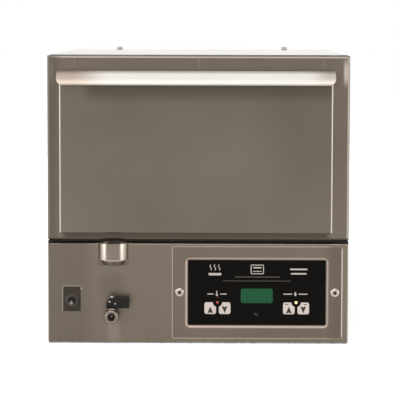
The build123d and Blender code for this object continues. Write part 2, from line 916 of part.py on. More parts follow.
def control_key(x, z, lamp_x):
    """One key: a cap cut round its lamp, and a lip behind the recess floor that keeps it in."""
    cap_front_y = field_y - overlay_sheet - key_proud
    lip_front_y = recess_floor_y + running_gap
    with BuildPart() as key:
        with BuildSketch(upright(lip_front_y)):
            with Locations((x, z)):
                RectangleRounded(key_width, key_height, key_corner)
        extrude(amount=lip_front_y - cap_front_y)
        chamfer(key.edges().group_by(Axis.Y)[0], key_edge)
        with BuildSketch(upright(lip_front_y + key_lip)):
            with Locations((x, z)):
                Rectangle(key_width + 2 * key_lip, key_height + 2 * key_lip)
        extrude(amount=key_lip)
        with BuildSketch(upright(lip_front_y + key_lip)):
            with Locations((lamp_x, lamp_z)):
                Circle(lamp_clearance)
        extrude(amount=lip_front_y + key_lip - cap_front_y, mode=Mode.SUBTRACT)
    return key.part


# The four keys: up and down at the left, up and down at the right
with BuildPart() as left_up_key:
    add(control_key(left_pair_x - key_pitch / 2, keys_z, left_pair_x))
with BuildPart() as left_down_key:
    add(control_key(left_pair_x + key_pitch / 2, keys_z, left_pair_x))
with BuildPart() as right_up_key:
    add(control_key(right_pair_x - key_pitch / 2, keys_z, right_pair_x))
with BuildPart() as right_down_key:
    add(control_key(right_pair_x + key_pitch / 2, keys_z, right_pair_x))


def indicator_lamp(x):
    """One lamp: a bevelled rod from the board to the face of the overlay."""
    with BuildPart() as lamp:
        with BuildSketch(upright(board_front_y)):
            with Locations((x, lamp_z)):
                Circle(lamp_radius)
        extrude(amount=board_front_y - field_y + overlay_sheet)
        chamfer(lamp.edges().group_by(Axis.Y)[0], lamp_radius / 2)
    return lamp.part


with BuildPart() as left_lamp:
    add(indicator_lamp(left_pair_x))
with BuildPart() as right_lamp:
    add(indicator_lamp(right_pair_x))

# The board on its standoffs, with a switch behind each key and the display behind its lens
key_back_y = recess_floor_y + running_gap + key_lip
with BuildPart() as control_board:
    with BuildSketch(upright(board_front_y + board_sheet)):
        with Locations((recess_x, board_z)):
            Rectangle(board_width, board_height)
    extrude(amount=board_sheet)
    with BuildSketch(upright(board_front_y)):
        with Locations(*key_places):
            Rectangle(key_switch_width, key_switch_width)
    extrude(amount=board_front_y - key_back_y - key_travel - seat_gap)
    with BuildSketch(upright(board_front_y)):
        with Locations((recess_x, lens_z)):
            Rectangle(lens_width - display_inset, lens_height - display_inset)
    extrude(amount=board_gap - seat_gap)

# Wide-headed screws with a hexagon socket that hold the control plate to the panel
plate_screw_places = [(plate_x - plate_width / 2 + plate_screw_inset, plate_z)]
plate_screw_places.append((plate_x + plate_width / 2 - plate_screw_inset, plate_z))
with BuildPart() as control_plate_screws:
    with BuildSketch(upright(plate_front_y)):
        with Locations(*plate_screw_places):
            Circle(screw_head_radius)
    extrude(amount=screw_head_height)
    chamfer(control_plate_screws.edges().group_by(Axis.Y)[0], screw_head_height / 2)
    with BuildSketch(upright(plate_front_y)):
        with Locations(*plate_screw_places):
            Circle(screw_shank_radius)
    extrude(amount=-screw_length)
    with BuildSketch(upright(plate_front_y - screw_socket_floor)):
        with Locations(*plate_screw_places):
            RegularPolygon(screw_shank_radius, 6)
    extrude(amount=screw_head_height, mode=Mode.SUBTRACT)

# The plate behind the power switch
switch_face_y = front_y - switch_plate_sheet
with BuildPart() as switch_plate:
    with BuildSketch(upright(front_y)):
        with Locations((switch_x, switch_z + switch_plate_rise)):
            Rectangle(switch_plate_width, switch_plate_height)
        with Locations((switch_x, switch_z)):
            Circle(bush_radius + running_gap, mode=Mode.SUBTRACT)
    extrude(amount=switch_plate_sheet)

# The switch: a moulded body behind the panel and its bush through it, bored for the toggle
bush_front_y = switch_face_y - bush_length + casing_sheet
pivot_y = bush_front_y + pivot_depth
with BuildPart() as switch_body:
    with BuildSketch(upright(front_y + casing_sheet + switch_body_depth)):
        with Locations((switch_x, switch_z)):
            Rectangle(switch_body_width, switch_body_height)
    extrude(amount=switch_body_depth)
    with BuildSketch(upright(front_y + casing_sheet)):
        with Locations((switch_x, switch_z)):
            Circle(bush_radius)
    extrude(amount=front_y + casing_sheet - bush_front_y)
    with Locations((switch_x, pivot_y, switch_z)):
        Sphere(toggle_ball_radius + fit_play, mode=Mode.SUBTRACT)
        Cone(
            toggle_ball_radius,
            bush_mouth_radius,
            pivot_depth,
            rotation=(90, 0, 0),
            align=(Align.CENTER, Align.CENTER, Align.MIN),
            mode=Mode.SUBTRACT,
        )

# Dress ring and nut round the bush
with BuildPart() as switch_nut:
    with BuildSketch(upright(switch_face_y)):
        with Locations((switch_x, switch_z)):
            Circle(dress_ring_radius)
    extrude(amount=dress_ring_sheet)
    with BuildSketch(upright(switch_face_y)):
        with Locations((switch_x, switch_z)):
            RegularPolygon(switch_nut_width / 2, 6, major_radius=False)
    extrude(amount=dress_ring_sheet + switch_nut_height)
    with BuildSketch(upright(switch_face_y)):
        with Locations((switch_x, switch_z)):
            Circle(bush_radius + fit_play)
    extrude(amount=dress_ring_sheet + switch_nut_height, mode=Mode.SUBTRACT)

# The toggle, turned with a ball at its pivot and a swelling at its tip, tipped down
with BuildPart() as toggle_lever:
    with BuildSketch(Plane.XY):
        with BuildLine():
            Polyline(
                (0, 0),
                (toggle_neck_radius, 0),
                (toggle_radius, toggle_length - toggle_edge),
                (toggle_radius - toggle_edge, toggle_length),
                (0, toggle_length),
                close=True,
            )
        make_face()
    revolve(axis=Axis.Y)
    Sphere(toggle_ball_radius)
toggle_lever.part.locate(Location((switch_x, pivot_y, switch_z), (180 + toggle_tilt, 0, 0)))

# Electrics on the base pan


def boxed_device(size, x, y):
    """A closed electrical device on the base pan, with a foot flange at its ends."""
    width, depth, height = size
    with BuildPart() as device:
        with BuildSketch(Plane.XY.offset(base_sheet)):
            with Locations((x, y)):
                Rectangle(width + 2 * device_foot, depth / 2)
        extrude(amount=device_foot_sheet)
        with BuildSketch(Plane.XY.offset(base_sheet)):
            with Locations((x, y)):
                Rectangle(width, depth)
        extrude(amount=height)
    return device.part


with BuildPart() as transformer:
    add(boxed_device(transformer_size, *transformer_place))
with BuildPart() as relay_block:
    add(boxed_device(relay_size, *relay_place))
with BuildPart() as terminal_block:
    add(boxed_device(terminal_size, *terminal_place))
    with BuildSketch(Plane.XY.offset(base_sheet + terminal_size[2])):
        with Locations(terminal_place):
            with GridLocations(terminal_pitch, terminal_size[1] / 2, terminal_poles, 2):
                Rectangle(terminal_pocket, terminal_pocket)
    extrude(amount=-terminal_pocket / 2, mode=Mode.SUBTRACT)

# Cord gland through the rear panel: body, collar and the cord's bore
with BuildPart() as cord_gland:
    with BuildSketch(upright(rear_y + gland_collar)):
        with Locations((gland_x, gland_z)):
            Circle(gland_radius)
    extrude(amount=gland_collar)
    gland_length = gland_collar + 2 * gland_nut_height + casing_sheet
    with BuildSketch(upright(rear_y + gland_collar + gland_nut_height)):
        with Locations((gland_x, gland_z)):
            Circle(gland_neck_radius)
    extrude(amount=gland_length)
    with BuildSketch(upright(casing_rear_y)):
        with Locations((gland_x, gland_z)):
            RegularPolygon(gland_nut_width / 2, 6)
    extrude(amount=gland_nut_height)
    with BuildSketch(upright(rear_y + gland_collar + gland_nut_height)):
        with Locations((gland_x, gland_z)):
            Circle(gland_bore / 2)
    extrude(amount=gland_length, mode=Mode.SUBTRACT)

# Drawer front

# The skin: a shallow shell, open behind
skin_rear_y = front_y + drawer_front_depth - casing_sheet
with BuildPart() as drawer_skin:
    with BuildSketch(upright(skin_rear_y)):
        with Locations((0, drawer_middle)):
            Rectangle(overall_width, drawer_height)
    extrude(amount=skin_rear_y - front_y)
    fillet(drawer_skin.faces().sort_by(Axis.Y)[0].edges(), bend_radius)
    offset(amount=-casing_sheet, openings=drawer_skin.faces().sort_by(Axis.Y)[-1])

# The inner pan: a plate that closes the skin, with a hollow plug that reaches into the chamber mouth
plug_width = chamber_width - 2 * plug_gap
plug_height = chamber_height - 2 * plug_gap
plug_rear_y = front_y + drawer_front_depth + plug_depth
with BuildPart() as drawer_inner_pan:
    with BuildSketch(upright(skin_rear_y + casing_sheet)):
        with Locations((0, drawer_middle)):
            Rectangle(overall_width - 2 * plate_inset, drawer_height - 2 * plate_inset)
    extrude(amount=casing_sheet)
    with BuildSketch(upright(plug_rear_y)):
        with Locations((0, chamber_middle)):
            RectangleRounded(plug_width, plug_height, plug_radius)
    extrude(amount=plug_rear_y - skin_rear_y)
    with BuildSketch(upright(plug_rear_y - casing_sheet)):
        with Locations((0, chamber_middle)):
            RectangleRounded(
                plug_width - 2 * casing_sheet, plug_height - 2 * casing_sheet, plug_radius - casing_sheet
            )
    extrude(amount=plug_rear_y - skin_rear_y, mode=Mode.SUBTRACT)

# Insulation inside the drawer front and its plug
core_inset = casing_sheet + bend_radius
core_side_gap = 2 * casing_sheet
with BuildPart() as drawer_core:
    with BuildSketch(upright(skin_rear_y - seat_gap)):
        with Locations((0, drawer_middle)):
            Rectangle(overall_width - 2 * core_inset, drawer_height - 2 * core_inset)
    extrude(amount=skin_rear_y - front_y - casing_sheet - 2 * seat_gap)
    with BuildSketch(upright(plug_rear_y - casing_sheet - seat_gap)):
        with Locations((0, chamber_middle)):
            RectangleRounded(
                plug_width - 2 * core_side_gap, plug_height - 2 * core_side_gap, plug_radius / 2
            )
    extrude(amount=plug_rear_y - skin_rear_y)

# The soft gasket round the drawer's back, just inside the edge of the drawer front
plate_rear_y = skin_rear_y + casing_sheet
with BuildPart() as door_gasket:
    with BuildSketch(upright(plate_rear_y + gasket_thickness)):
        with Locations((0, drawer_middle)):
            RectangleRounded(
                overall_width - 2 * gasket_inset, drawer_height - 2 * gasket_top_inset, gasket_round
            )
            Rectangle(
                overall_width - 2 * (gasket_inset + gasket_width),
                drawer_height - 2 * (gasket_top_inset + gasket_width),
                mode=Mode.SUBTRACT,
            )
    extrude(amount=gasket_thickness)
    rims = door_gasket.faces().filter_by(Axis.Y).sort_by(Axis.Y)
    fillet([rim.outer_wire().edges() for rim in rims], gasket_edge)

# The raised panel on the drawer front: formed sheet, open behind
with BuildPart() as face_panel:
    with BuildSketch(upright(front_y)):
        with Locations((panel_shift, drawer_bottom + panel_bottom_margin)):
            Rectangle(
                overall_width - 2 * panel_side_margin,
                drawer_height - panel_bottom_margin - panel_top_margin,
                align=(Align.CENTER, Align.MIN),
            )
    extrude(amount=panel_depth)
    fillet(face_panel.faces().sort_by(Axis.Y)[0].edges(), panel_radius)
    offset(amount=-casing_sheet, openings=face_panel.faces().sort_by(Axis.Y)[-1])

# The pull: a flange on the panel, bent over into an awning whose curve steepens to a hemmed lip;
# its lower corners are rounded off as seen from the front
pull_top_z = drawer_top - panel_top_margin
with BuildPart() as handle_pull:
    with BuildSketch(Plane.YZ.offset(panel_shift - pull_half_width)):
        with BuildLine():
            flange_line = Line((panel_y, pull_top_z - pull_flange), (panel_y, pull_top_z - pull_bend_radius))
            top_bend = JernArc(flange_line @ 1, flange_line % 1, pull_bend_radius, 90 + pull_start_slope)
            awning = JernArc(top_bend @ 1, top_bend % 1, pull_arc_radius, pull_end_slope - pull_start_slope)
            JernArc(awning @ 1, awning % 1, pull_hem_radius, pull_hem_turn)
            offset(amount=pull_sheet, side=Side.RIGHT)
        make_face()
    extrude(amount=2 * pull_half_width)
    pull_box = handle_pull.part.bounding_box()
    with BuildSketch(upright(panel_y)) as pull_front:
        with Locations((panel_shift, pull_box.min.Z)):
            Rectangle(2 * pull_half_width, pull_box.size.Z, align=(Align.CENTER, Align.MIN))
        fillet(pull_front.vertices().group_by(Axis.Y)[0], pull_corner)
    extrude(amount=pull_box.size.Y, mode=Mode.INTERSECT)

# Pan frame and slides


def race_half_width(side):
    """Half the width of a race on a flange's outer face: side 1 bulges out, side -1 sinks in."""
    if side > 0:
        return sqrt((race_radius + rail_sheet) ** 2 - (flange_gap + rail_sheet) ** 2)
    return sqrt(race_radius**2 - flange_gap**2)


def rail_section(web_u, tip_u, surface_v, races):
    """Section of one rail: an open C whose flanges are beaded to make the ball races.

    web_u is the web's outer face and surface_v the outer face of the upper flange. Each race is (u, side):
    side 1 bulges the flange out round balls inside it, side -1 sinks it under balls that run outside.
    """
    direction = copysign(1, web_u - tip_u)
    with BuildSketch() as section:
        with BuildLine():
            u = tip_u
            for race_u, side in races:
                half_race = direction * race_half_width(side)
                crest_v = surface_v + side * race_sink
                Line((u, surface_v), (race_u - half_race, surface_v))
                ThreePointArc(
                    (race_u - half_race, surface_v), (race_u, crest_v), (race_u + half_race, surface_v)
                )
                u = race_u + half_race
            Polyline((u, surface_v), (web_u, surface_v), (web_u, 0))
            mirror(about=Plane.XZ)
            offset(amount=rail_sheet, side=Side.LEFT if direction < 0 else Side.RIGHT, kind=Kind.INTERSECTION)
        make_face()
    return section.sketch


def cage_section(web_u, tip_u, centre_v):
    """Section of one ball cage: a thin U whose flanges pass through the middle of the balls."""
    with BuildSketch() as section:
        with Locations(((web_u + tip_u) / 2, 0)):
            Rectangle(tip_u - web_u, 2 * centre_v + cage_sheet)
        with Locations(((web_u + cage_web_sheet + tip_u) / 2, 0)):
            Rectangle(tip_u - web_u - cage_web_sheet, 2 * centre_v - cage_sheet, mode=Mode.SUBTRACT)
    return section.sketch


# Sections stand on the left wall of the chamber, at the rear end of the slide
slide_front_y = plug_rear_y + slide_front_gap
slide_rear_y = chamber_rear_y - slide_rear_gap
slide_z = chamber_top - slide_top_gap
slide_wall_x = -chamber_width / 2
slide_plane = Plane(origin=(slide_wall_x, slide_rear_y, slide_z), x_dir=(1, 0, 0), z_dir=(0, -1, 0))
slide_length = slide_rear_y - slide_front_y
middle_web_u = rail_sheet + web_gap
outer_ball_u = middle_web_u + web_side_land + race_half_width(-1)
inner_ball_u = outer_ball_u + race_half_width(-1) + race_land + race_half_width(1)
cage_reach = ball_radius + cage_hole_play + cage_lip
ball_window = [2 * (ball_radius + cage_hole_play)] * 2 + [2 * cage_sheet]
cabinet_surface_v = outer_ball_v + flange_gap + rail_sheet
middle_surface_v = outer_ball_v - flange_gap
drawer_surface_v = inner_ball_v - flange_gap
cabinet_tip_u = outer_ball_u + race_half_width(1) + flange_lip
middle_tip_u = inner_ball_u + race_half_width(1) + flange_lip
drawer_tip_u = inner_ball_u - race_half_width(-1) - flange_lip
slide_width = middle_tip_u + drawer_web_gap

# The rail screwed to the chamber wall, with its rear end turned in as a stop behind the middle rail
stop_reach = running_gap + rail_sheet
with BuildPart() as left_cabinet_rail:
    with BuildSketch(slide_plane.offset(-stop_reach)):
        add(rail_section(0, cabinet_tip_u, cabinet_surface_v, [(outer_ball_u, 1)]))
    extrude(amount=slide_length + stop_reach)
    with BuildSketch(slide_plane.offset(-stop_reach)):
        with Locations((cabinet_tip_u / 2, 0)):
            Rectangle(cabinet_tip_u, 2 * inner_ball_v)
    extrude(amount=rail_sheet)
with BuildPart() as right_cabinet_rail:
    mirror(left_cabinet_rail.part, about=Plane.YZ)

# The middle rail, with races both for the outer balls and for the inner ones
with BuildPart() as left_middle_rail:
    with BuildSketch(slide_plane):
        add(
            rail_section(
                middle_web_u, middle_tip_u, middle_surface_v, [(inner_ball_u, 1), (outer_ball_u, -1)]
            )
        )
    extrude(amount=slide_length)
with BuildPart() as right_middle_rail:
    mirror(left_middle_rail.part, about=Plane.YZ)

# The rail on the pan frame
with BuildPart() as left_drawer_rail:
    with BuildSketch(slide_plane):
        add(rail_section(slide_width, drawer_tip_u, drawer_surface_v, [(inner_ball_u, -1)]))
    extrude(amount=slide_length)
with BuildPart() as right_drawer_rail:
    mirror(left_drawer_rail.part, about=Plane.YZ)

# Balls and cages: the outer ones between cabinet rail and middle rail, the inner ones between middle rail
# and drawer rail
cage_front_y = slide_front_y + cage_front_gap
cage_middle_y = cage_front_y + cage_length / 2
cage_origin = (slide_wall_x, cage_front_y + cage_length, slide_z)
cage_plane = Plane(origin=cage_origin, x_dir=(1, 0, 0), z_dir=(0, -1, 0))
ball_rows_y = [cage_middle_y + (n - (balls_in_row - 1) / 2) * ball_pitch for n in range(balls_in_row)]


def ball_places(ball_u, ball_v):
    """Centres of the balls of the left slide whose two rows run at ball_u, above and below."""
    return [(slide_wall_x + ball_u, y, slide_z + side * ball_v) for y in ball_rows_y for side in (-1, 1)]


outer_ball_places = ball_places(outer_ball_u, outer_ball_v)
inner_ball_places = ball_places(inner_ball_u, inner_ball_v)
outer_cage_u = rail_sheet + (web_gap - cage_web_sheet) / 2
inner_cage_u = middle_web_u + rail_sheet + (web_gap - cage_web_sheet) / 2

with BuildPart() as outer_balls:
    with Locations(*outer_ball_places):
        Sphere(ball_radius)
    mirror(about=Plane.YZ)
with BuildPart() as inner_balls:
    with Locations(*inner_ball_places):
        Sphere(ball_radius)
    mirror(about=Plane.YZ)

with BuildPart() as outer_cages:
    with BuildSketch(cage_plane):
        add(cage_section(outer_cage_u, outer_ball_u + cage_reach, outer_ball_v))
    extrude(amount=cage_length)
    with Locations(*outer_ball_places):
        Box(*ball_window, mode=Mode.SUBTRACT)
    mirror(about=Plane.YZ)
with BuildPart() as inner_cages:
    with BuildSketch(cage_plane):
        add(cage_section(inner_cage_u, inner_ball_u + cage_reach, inner_ball_v))
    extrude(amount=cage_length)
    with Locations(*inner_ball_places):
        Box(*ball_window, mode=Mode.SUBTRACT)
    mirror(about=Plane.YZ)

# The frame that the food pan hangs in: deep sides for the slides, shallow cross rails, and a ledge all round
frame_width = chamber_width - 2 * slide_width
frame_rear_y = chamber_rear_y - frame_rear_gap
frame_length = frame_rear_y - plug_rear_y
frame_y = (frame_rear_y + plug_rear_y) / 2
frame_top = chamber_top - frame_top_gap
with BuildPart() as pan_frame:
    with BuildSketch(Plane.XY.offset(frame_top)):
        with Locations((0, frame_y)):
            RectangleRounded(frame_width, frame_length, frame_radius)
            RectangleRounded(
                frame_width - 2 * frame_sheet,
                frame_length - 2 * frame_sheet,
                frame_radius - frame_sheet,
                mode=Mode.SUBTRACT,
            )
    extrude(amount=-frame_height)
    with BuildSketch(upright(frame_rear_y)):
        with Locations((0, frame_top - frame_height)):
            Rectangle(
                frame_width - 2 * side_web,
                2 * (frame_height - frame_rail_height),
            )
    extrude(amount=frame_length, mode=Mode.SUBTRACT)
    with BuildSketch(Plane.XY.offset(frame_top - ledge_drop)):
        with Locations((0, frame_y)):
            RectangleRounded(frame_width - 2 * frame_sheet, frame_length - 2 * frame_sheet, frame_radius)
            RectangleRounded(
                frame_width - 2 * (frame_sheet + ledge_width),
                frame_length - 2 * (frame_sheet + ledge_width),
                frame_radius,
                mode=Mode.SUBTRACT,
            )
    extrude(amount=-frame_sheet)

# Every piece under the name it is exported by
pieces = {
    "outer_casing": outer_casing,
    "face_frame": face_frame,
    "base_pan": base_pan,
    "service_panel": service_panel,
    "rear_panel": rear_panel,
    "rear_screws": rear_screws,
    "base_deck": base_deck,
    "top_studs": top_studs,
    "chamber_liner": chamber_liner,
    "insulation_jacket": insulation_jacket,
    "evaporator_tank": evaporator_tank,
    "water_heater": water_heater,
    "air_heater": air_heater,
    "heater_clips": heater_clips,
    "air_probe": air_probe,
    "level_probe": level_probe,
    "fill_cup": fill_cup,
    "fill_tube": fill_tube,
    "drain_tube": drain_tube,
    "drain_valve_body": drain_valve_body,
    "drain_valve_ball": drain_valve_ball,
    "drain_valve_lever": drain_valve_lever,
    "drain_lever_nut": drain_lever_nut,
    "control_plate": control_plate,
    "control_overlay": control_overlay,
    "display_lens": display_lens,
    "left_up_key": left_up_key,
    "left_down_key": left_down_key,
    "right_up_key": right_up_key,
    "right_down_key": right_down_key,
    "left_lamp": left_lamp,
    "right_lamp": right_lamp,
    "control_board": control_board,
    "control_plate_screws": control_plate_screws,
    "switch_plate": switch_plate,
    "switch_body": switch_body,
    "switch_nut": switch_nut,
    "toggle_lever": toggle_lever,
    "transformer": transformer,
    "relay_block": relay_block,
    "terminal_block": terminal_block,
    "cord_gland": cord_gland,
    "drawer_skin": drawer_skin,
    "drawer_inner_pan": drawer_inner_pan,
    "drawer_core": drawer_core,
    "door_gasket": door_gasket,
    "face_panel": face_panel,
    "handle_pull": handle_pull,
    "pan_frame": pan_frame,
    "left_cabinet_rail": left_cabinet_rail,
    "right_cabinet_rail": right_cabinet_rail,
    "left_middle_rail": left_middle_rail,
    "right_middle_rail": right_middle_rail,
    "left_drawer_rail": left_drawer_rail,
    "right_drawer_rail": right_drawer_rail,
    "outer_cages": outer_cages,
    "outer_balls": outer_balls,
    "inner_cages": inner_cages,
    "inner_balls": inner_balls,
}

os.makedirs("parts", exist_ok=True)
for name, piece in pieces.items():
    piece.part.label = name
    export_step(piece.part, f"parts/{name}.step")
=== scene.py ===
import json
import math

import bmesh
import bpy
import numpy as np
from mathutils import Matrix, Vector


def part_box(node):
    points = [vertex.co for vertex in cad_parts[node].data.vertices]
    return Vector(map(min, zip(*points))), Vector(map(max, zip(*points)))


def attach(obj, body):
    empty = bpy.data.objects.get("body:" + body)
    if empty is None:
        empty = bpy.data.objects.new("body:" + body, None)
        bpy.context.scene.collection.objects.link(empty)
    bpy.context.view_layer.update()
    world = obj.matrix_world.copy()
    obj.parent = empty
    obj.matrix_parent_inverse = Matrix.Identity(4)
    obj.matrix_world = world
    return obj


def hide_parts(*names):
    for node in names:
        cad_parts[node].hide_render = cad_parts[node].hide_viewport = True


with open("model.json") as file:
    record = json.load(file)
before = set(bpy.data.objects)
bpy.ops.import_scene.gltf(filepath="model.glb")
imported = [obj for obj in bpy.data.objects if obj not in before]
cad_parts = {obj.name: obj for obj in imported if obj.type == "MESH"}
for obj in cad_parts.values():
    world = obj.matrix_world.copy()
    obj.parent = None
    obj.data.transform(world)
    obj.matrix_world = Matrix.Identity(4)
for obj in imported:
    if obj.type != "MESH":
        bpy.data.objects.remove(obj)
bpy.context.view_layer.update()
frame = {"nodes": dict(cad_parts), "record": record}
mm = 0.001

# Base pan, deck and rear panel: the pan, which carries the weld nuts for the legs, and the deck are pressed
# from galvanised sheet. The rear panel is stainless sheet ground upright, with louvres, and is screwed on.


def linear(red, green, blue):
    """A colour given as 0-255 values, turned into the shader's linear light by the sRGB curve."""
    share = np.array([red, green, blue]) / 255
    out = np.where(share <= 0.04045, share / 12.92, ((share + 0.055) / 1.055) ** 2.4)
    return (*out.tolist(), 1.0)


def finish(name, colour, roughness, metallic=0.0, **sockets):
    """A new material: its colour, roughness and metal are set on the shader's own sockets."""
    made = bpy.data.materials.new(name)
    made.use_nodes = True
    shader = made.node_tree.nodes["Principled BSDF"]
    shader.inputs["Base Color"].default_value = colour
    shader.inputs["Roughness"].default_value = roughness
    shader.inputs["Metallic"].default_value = metallic
    for socket, value in sockets.items():
        shader.inputs[socket.replace("_", " ")].default_value = value
    return made


def add_node(material, kind, **inputs):
    """Puts one node in the material and sets its inputs by name, with underscores for spaces."""
    node = material.node_tree.nodes.new(kind)
    for name, value in inputs.items():
        node.inputs[name.replace("_", " ")].default_value = value
    return node


def pattern(material, scale, stretch=(1, 1, 1), detail=3.0, distortion=0.0):
    """Noise over the piece's own place in metres. Stretch multiplies X, Y and Z before the noise reads it."""
    tree = material.node_tree
    place = tree.nodes.new("ShaderNodeTexCoord")
    mapping = add_node(material, "ShaderNodeMapping", Scale=stretch)
    noise = add_node(material, "ShaderNodeTexNoise", Scale=scale, Detail=detail, Distortion=distortion)
    tree.links.new(place.outputs["Object"], mapping.inputs["Vector"])
    tree.links.new(mapping.outputs["Vector"], noise.inputs["Vector"])
    return noise.outputs["Fac"]


def tint(material, source, dark, light, low=0.3, high=0.7):
    """Base colour runs from dark to light as the pattern goes from low to high."""
    tree = material.node_tree
    ramp = tree.nodes.new("ShaderNodeValToRGB")
    ramp.color_ramp.elements[0].position = low
    ramp.color_ramp.elements[1].position = high
    ramp.color_ramp.elements[0].color = dark
    ramp.color_ramp.elements[1].color = light
    tree.links.new(source, ramp.inputs["Fac"])
    tree.links.new(ramp.outputs["Color"], tree.nodes["Principled BSDF"].inputs["Base Color"])


def vary_roughness(material, source, low, high):
    """Roughness follows the pattern, from low at 0 to high at 1."""
    tree = material.node_tree
    span = add_node(material, "ShaderNodeMapRange", To_Min=low, To_Max=high)
    tree.links.new(source, span.inputs["Value"])
    tree.links.new(span.outputs["Result"], tree.nodes["Principled BSDF"].inputs["Roughness"])


def emboss(material, source, height, strength=1.0):
    """Bump: the pattern's 0 to 1 stands for that height in metres."""
    tree = material.node_tree
    bump = add_node(material, "ShaderNodeBump", Strength=strength, Distance=height)
    tree.links.new(source, bump.inputs["Height"])
    tree.links.new(bump.outputs["Normal"], tree.nodes["Principled BSDF"].inputs["Normal"])


def brushed(name, dark, light, roughness, along, grain=2200.0):
    """Ground sheet: hair-fine lines along one axis (0, 1, 2), and slow patches of tone from rolling and
    handling. Grain and lay say how often a metre's noise changes, across the axis and along it."""
    material = finish(name, light, roughness, 1.0)
    lay = 28.0
    stretch = [grain, grain, grain]
    stretch[along] = lay
    lines = pattern(material, 1.0, tuple(stretch), 4.0)
    patches = pattern(material, 5.0, (1, 1, 1), 2.0)
    tree = material.node_tree
    both = add_node(material, "ShaderNodeMix", Factor=0.35)
    tree.links.new(patches, both.inputs["A"])
    tree.links.new(lines, both.inputs["B"])
    tint(material, both.outputs["Result"], dark, light, 0.32, 0.68)
    vary_roughness(material, lines, roughness - 0.06, roughness + 0.08)
    emboss(material, lines, 0.000015, 0.35)
    return material


def dress(node, material):
    """Gives a CAD node its finish."""
    mesh = frame["nodes"][node].data
    mesh.materials.clear()
    mesh.materials.append(material)


galvanised = finish("galvanised_spangle", linear(168, 171, 173), 0.5, 0.85)
spangle = pattern(galvanised, 55.0, (1, 1, 1), 1.0, 1.5)
tint(galvanised, spangle, linear(142, 146, 149), linear(184, 187, 189), 0.38, 0.6)
vary_roughness(galvanised, spangle, 0.38, 0.6)
for node in ("base_pan", "base_deck"):
    dress(node, galvanised)

rear_steel = brushed("rear_sheet", linear(124, 119, 111), linear(140, 135, 127), 0.42, 2, 1600.0)
dress("rear_panel", rear_steel)
screw_steel = finish("plated_screw", linear(196, 192, 186), 0.24, 1.0)
vary_roughness(screw_steel, pattern(screw_steel, 900.0, (1, 1, 1), 2.0), 0.16, 0.34)
dress("rear_screws", screw_steel)

# Outer casing, face frame and service panel: 1.2 mm stainless sheet with a number 4 ground finish. The
# grain runs level on the fronts and front to back on the wrap. The base has painted highlights along its
# edges, painted shade at its left, a painted darker patch over the valve and a painted reflection streak
# under it.


def math_node(tree, operation, first, second=None):
    """A Math node on one or two values, each of them a number or another node's output."""
    node = tree.nodes.new("ShaderNodeMath")
    node.operation = operation
    for value, socket in zip((first, second), node.inputs):
        if isinstance(value, (int, float)):
            socket.default_value = value
        elif value is not None:
            tree.links.new(value, socket)
    return node.outputs[0]


def from_outline(material, centre, half, radius):
    """Distance in metres out from a rounded rectangle that faces the front, negative inside:
    |max(|p - centre| - half + radius, 0)| - radius, in X and Z. The sizes given are in mm."""
    tree = material.node_tree
    place = tree.nodes.new("ShaderNodeTexCoord")
    last = place.outputs["Object"]
    steps = (
        ("MULTIPLY", (1, 0, 1)),
        ("SUBTRACT", (centre[0] * mm, 0, centre[1] * mm)),
        ("ABSOLUTE", None),
        ("SUBTRACT", ((half[0] - radius) * mm, 0, (half[1] - radius) * mm)),
        ("MAXIMUM", (0, 0, 0)),
        ("LENGTH", None),
    )
    for operation, value in steps:
        node = tree.nodes.new("ShaderNodeVectorMath")
        node.operation = operation
        if value is not None:
            node.inputs[1].default_value = value
        tree.links.new(last, node.inputs[0])
        last = node.outputs["Value" if operation == "LENGTH" else "Vector"]
    return math_node(tree, "SUBTRACT", last, radius * mm)


def place_along(material, axis):
    """The piece's own X, Y or Z in metres."""
    tree = material.node_tree
    place = tree.nodes.new("ShaderNodeTexCoord")
    split = tree.nodes.new("ShaderNodeSeparateXYZ")
    tree.links.new(place.outputs["Object"], split.inputs[0])
    return split.outputs[axis]


def band(material, distance, middle, half, soft):
    """A mask that is 1 where the distance is within half of the middle, and falls to 0 over the soft width:
    1 - smoothstep of |distance - middle| from half to half + soft. The sizes given are in mm."""
    tree = material.node_tree
    away = math_node(tree, "ABSOLUTE", math_node(tree, "SUBTRACT", distance, middle * mm))
    fall = add_node(material, "ShaderNodeMapRange", To_Min=1.0, To_Max=0.0)
    fall.interpolation_type = "SMOOTHSTEP"
    fall.inputs["From Min"].default_value = half * mm
    fall.inputs["From Max"].default_value = (half + soft) * mm
    tree.links.new(away, fall.inputs["Value"])
    return fall.outputs["Result"]


def patch(material, x, z, share):
    """A mask of a soft rectangle on the front, times a share: x and z each give its middle, half width and
    soft edge in mm."""
    tree = material.node_tree
    across = band(material, place_along(material, "X"), *x)
    up = band(material, place_along(material, "Z"), *z)
    return math_node(tree, "MULTIPLY", math_node(tree, "MULTIPLY", across, up), share)


def strip(material, axis, middle, half, soft, share=1.0):
    """A mask of a soft strip at a place along X, Y or Z in mm, times a share."""
    mask = band(material, place_along(material, axis), middle, half, soft)
    return math_node(material.node_tree, "MULTIPLY", mask, share)


def mark(material, mask, colour):
    """Base colour turns to this one as the mask goes to 1. Sockets 6, 7 and 2 of the Mix node are colours."""
    tree = material.node_tree
    base = tree.nodes["Principled BSDF"].inputs["Base Color"]
    mix = tree.nodes.new("ShaderNodeMix")
    mix.data_type = "RGBA"
    tree.links.new(mask, mix.inputs["Factor"])
    tree.links.new(base.links[0].from_socket, mix.inputs[6])
    mix.inputs[7].default_value = colour
    tree.links.new(mix.outputs[2], base)


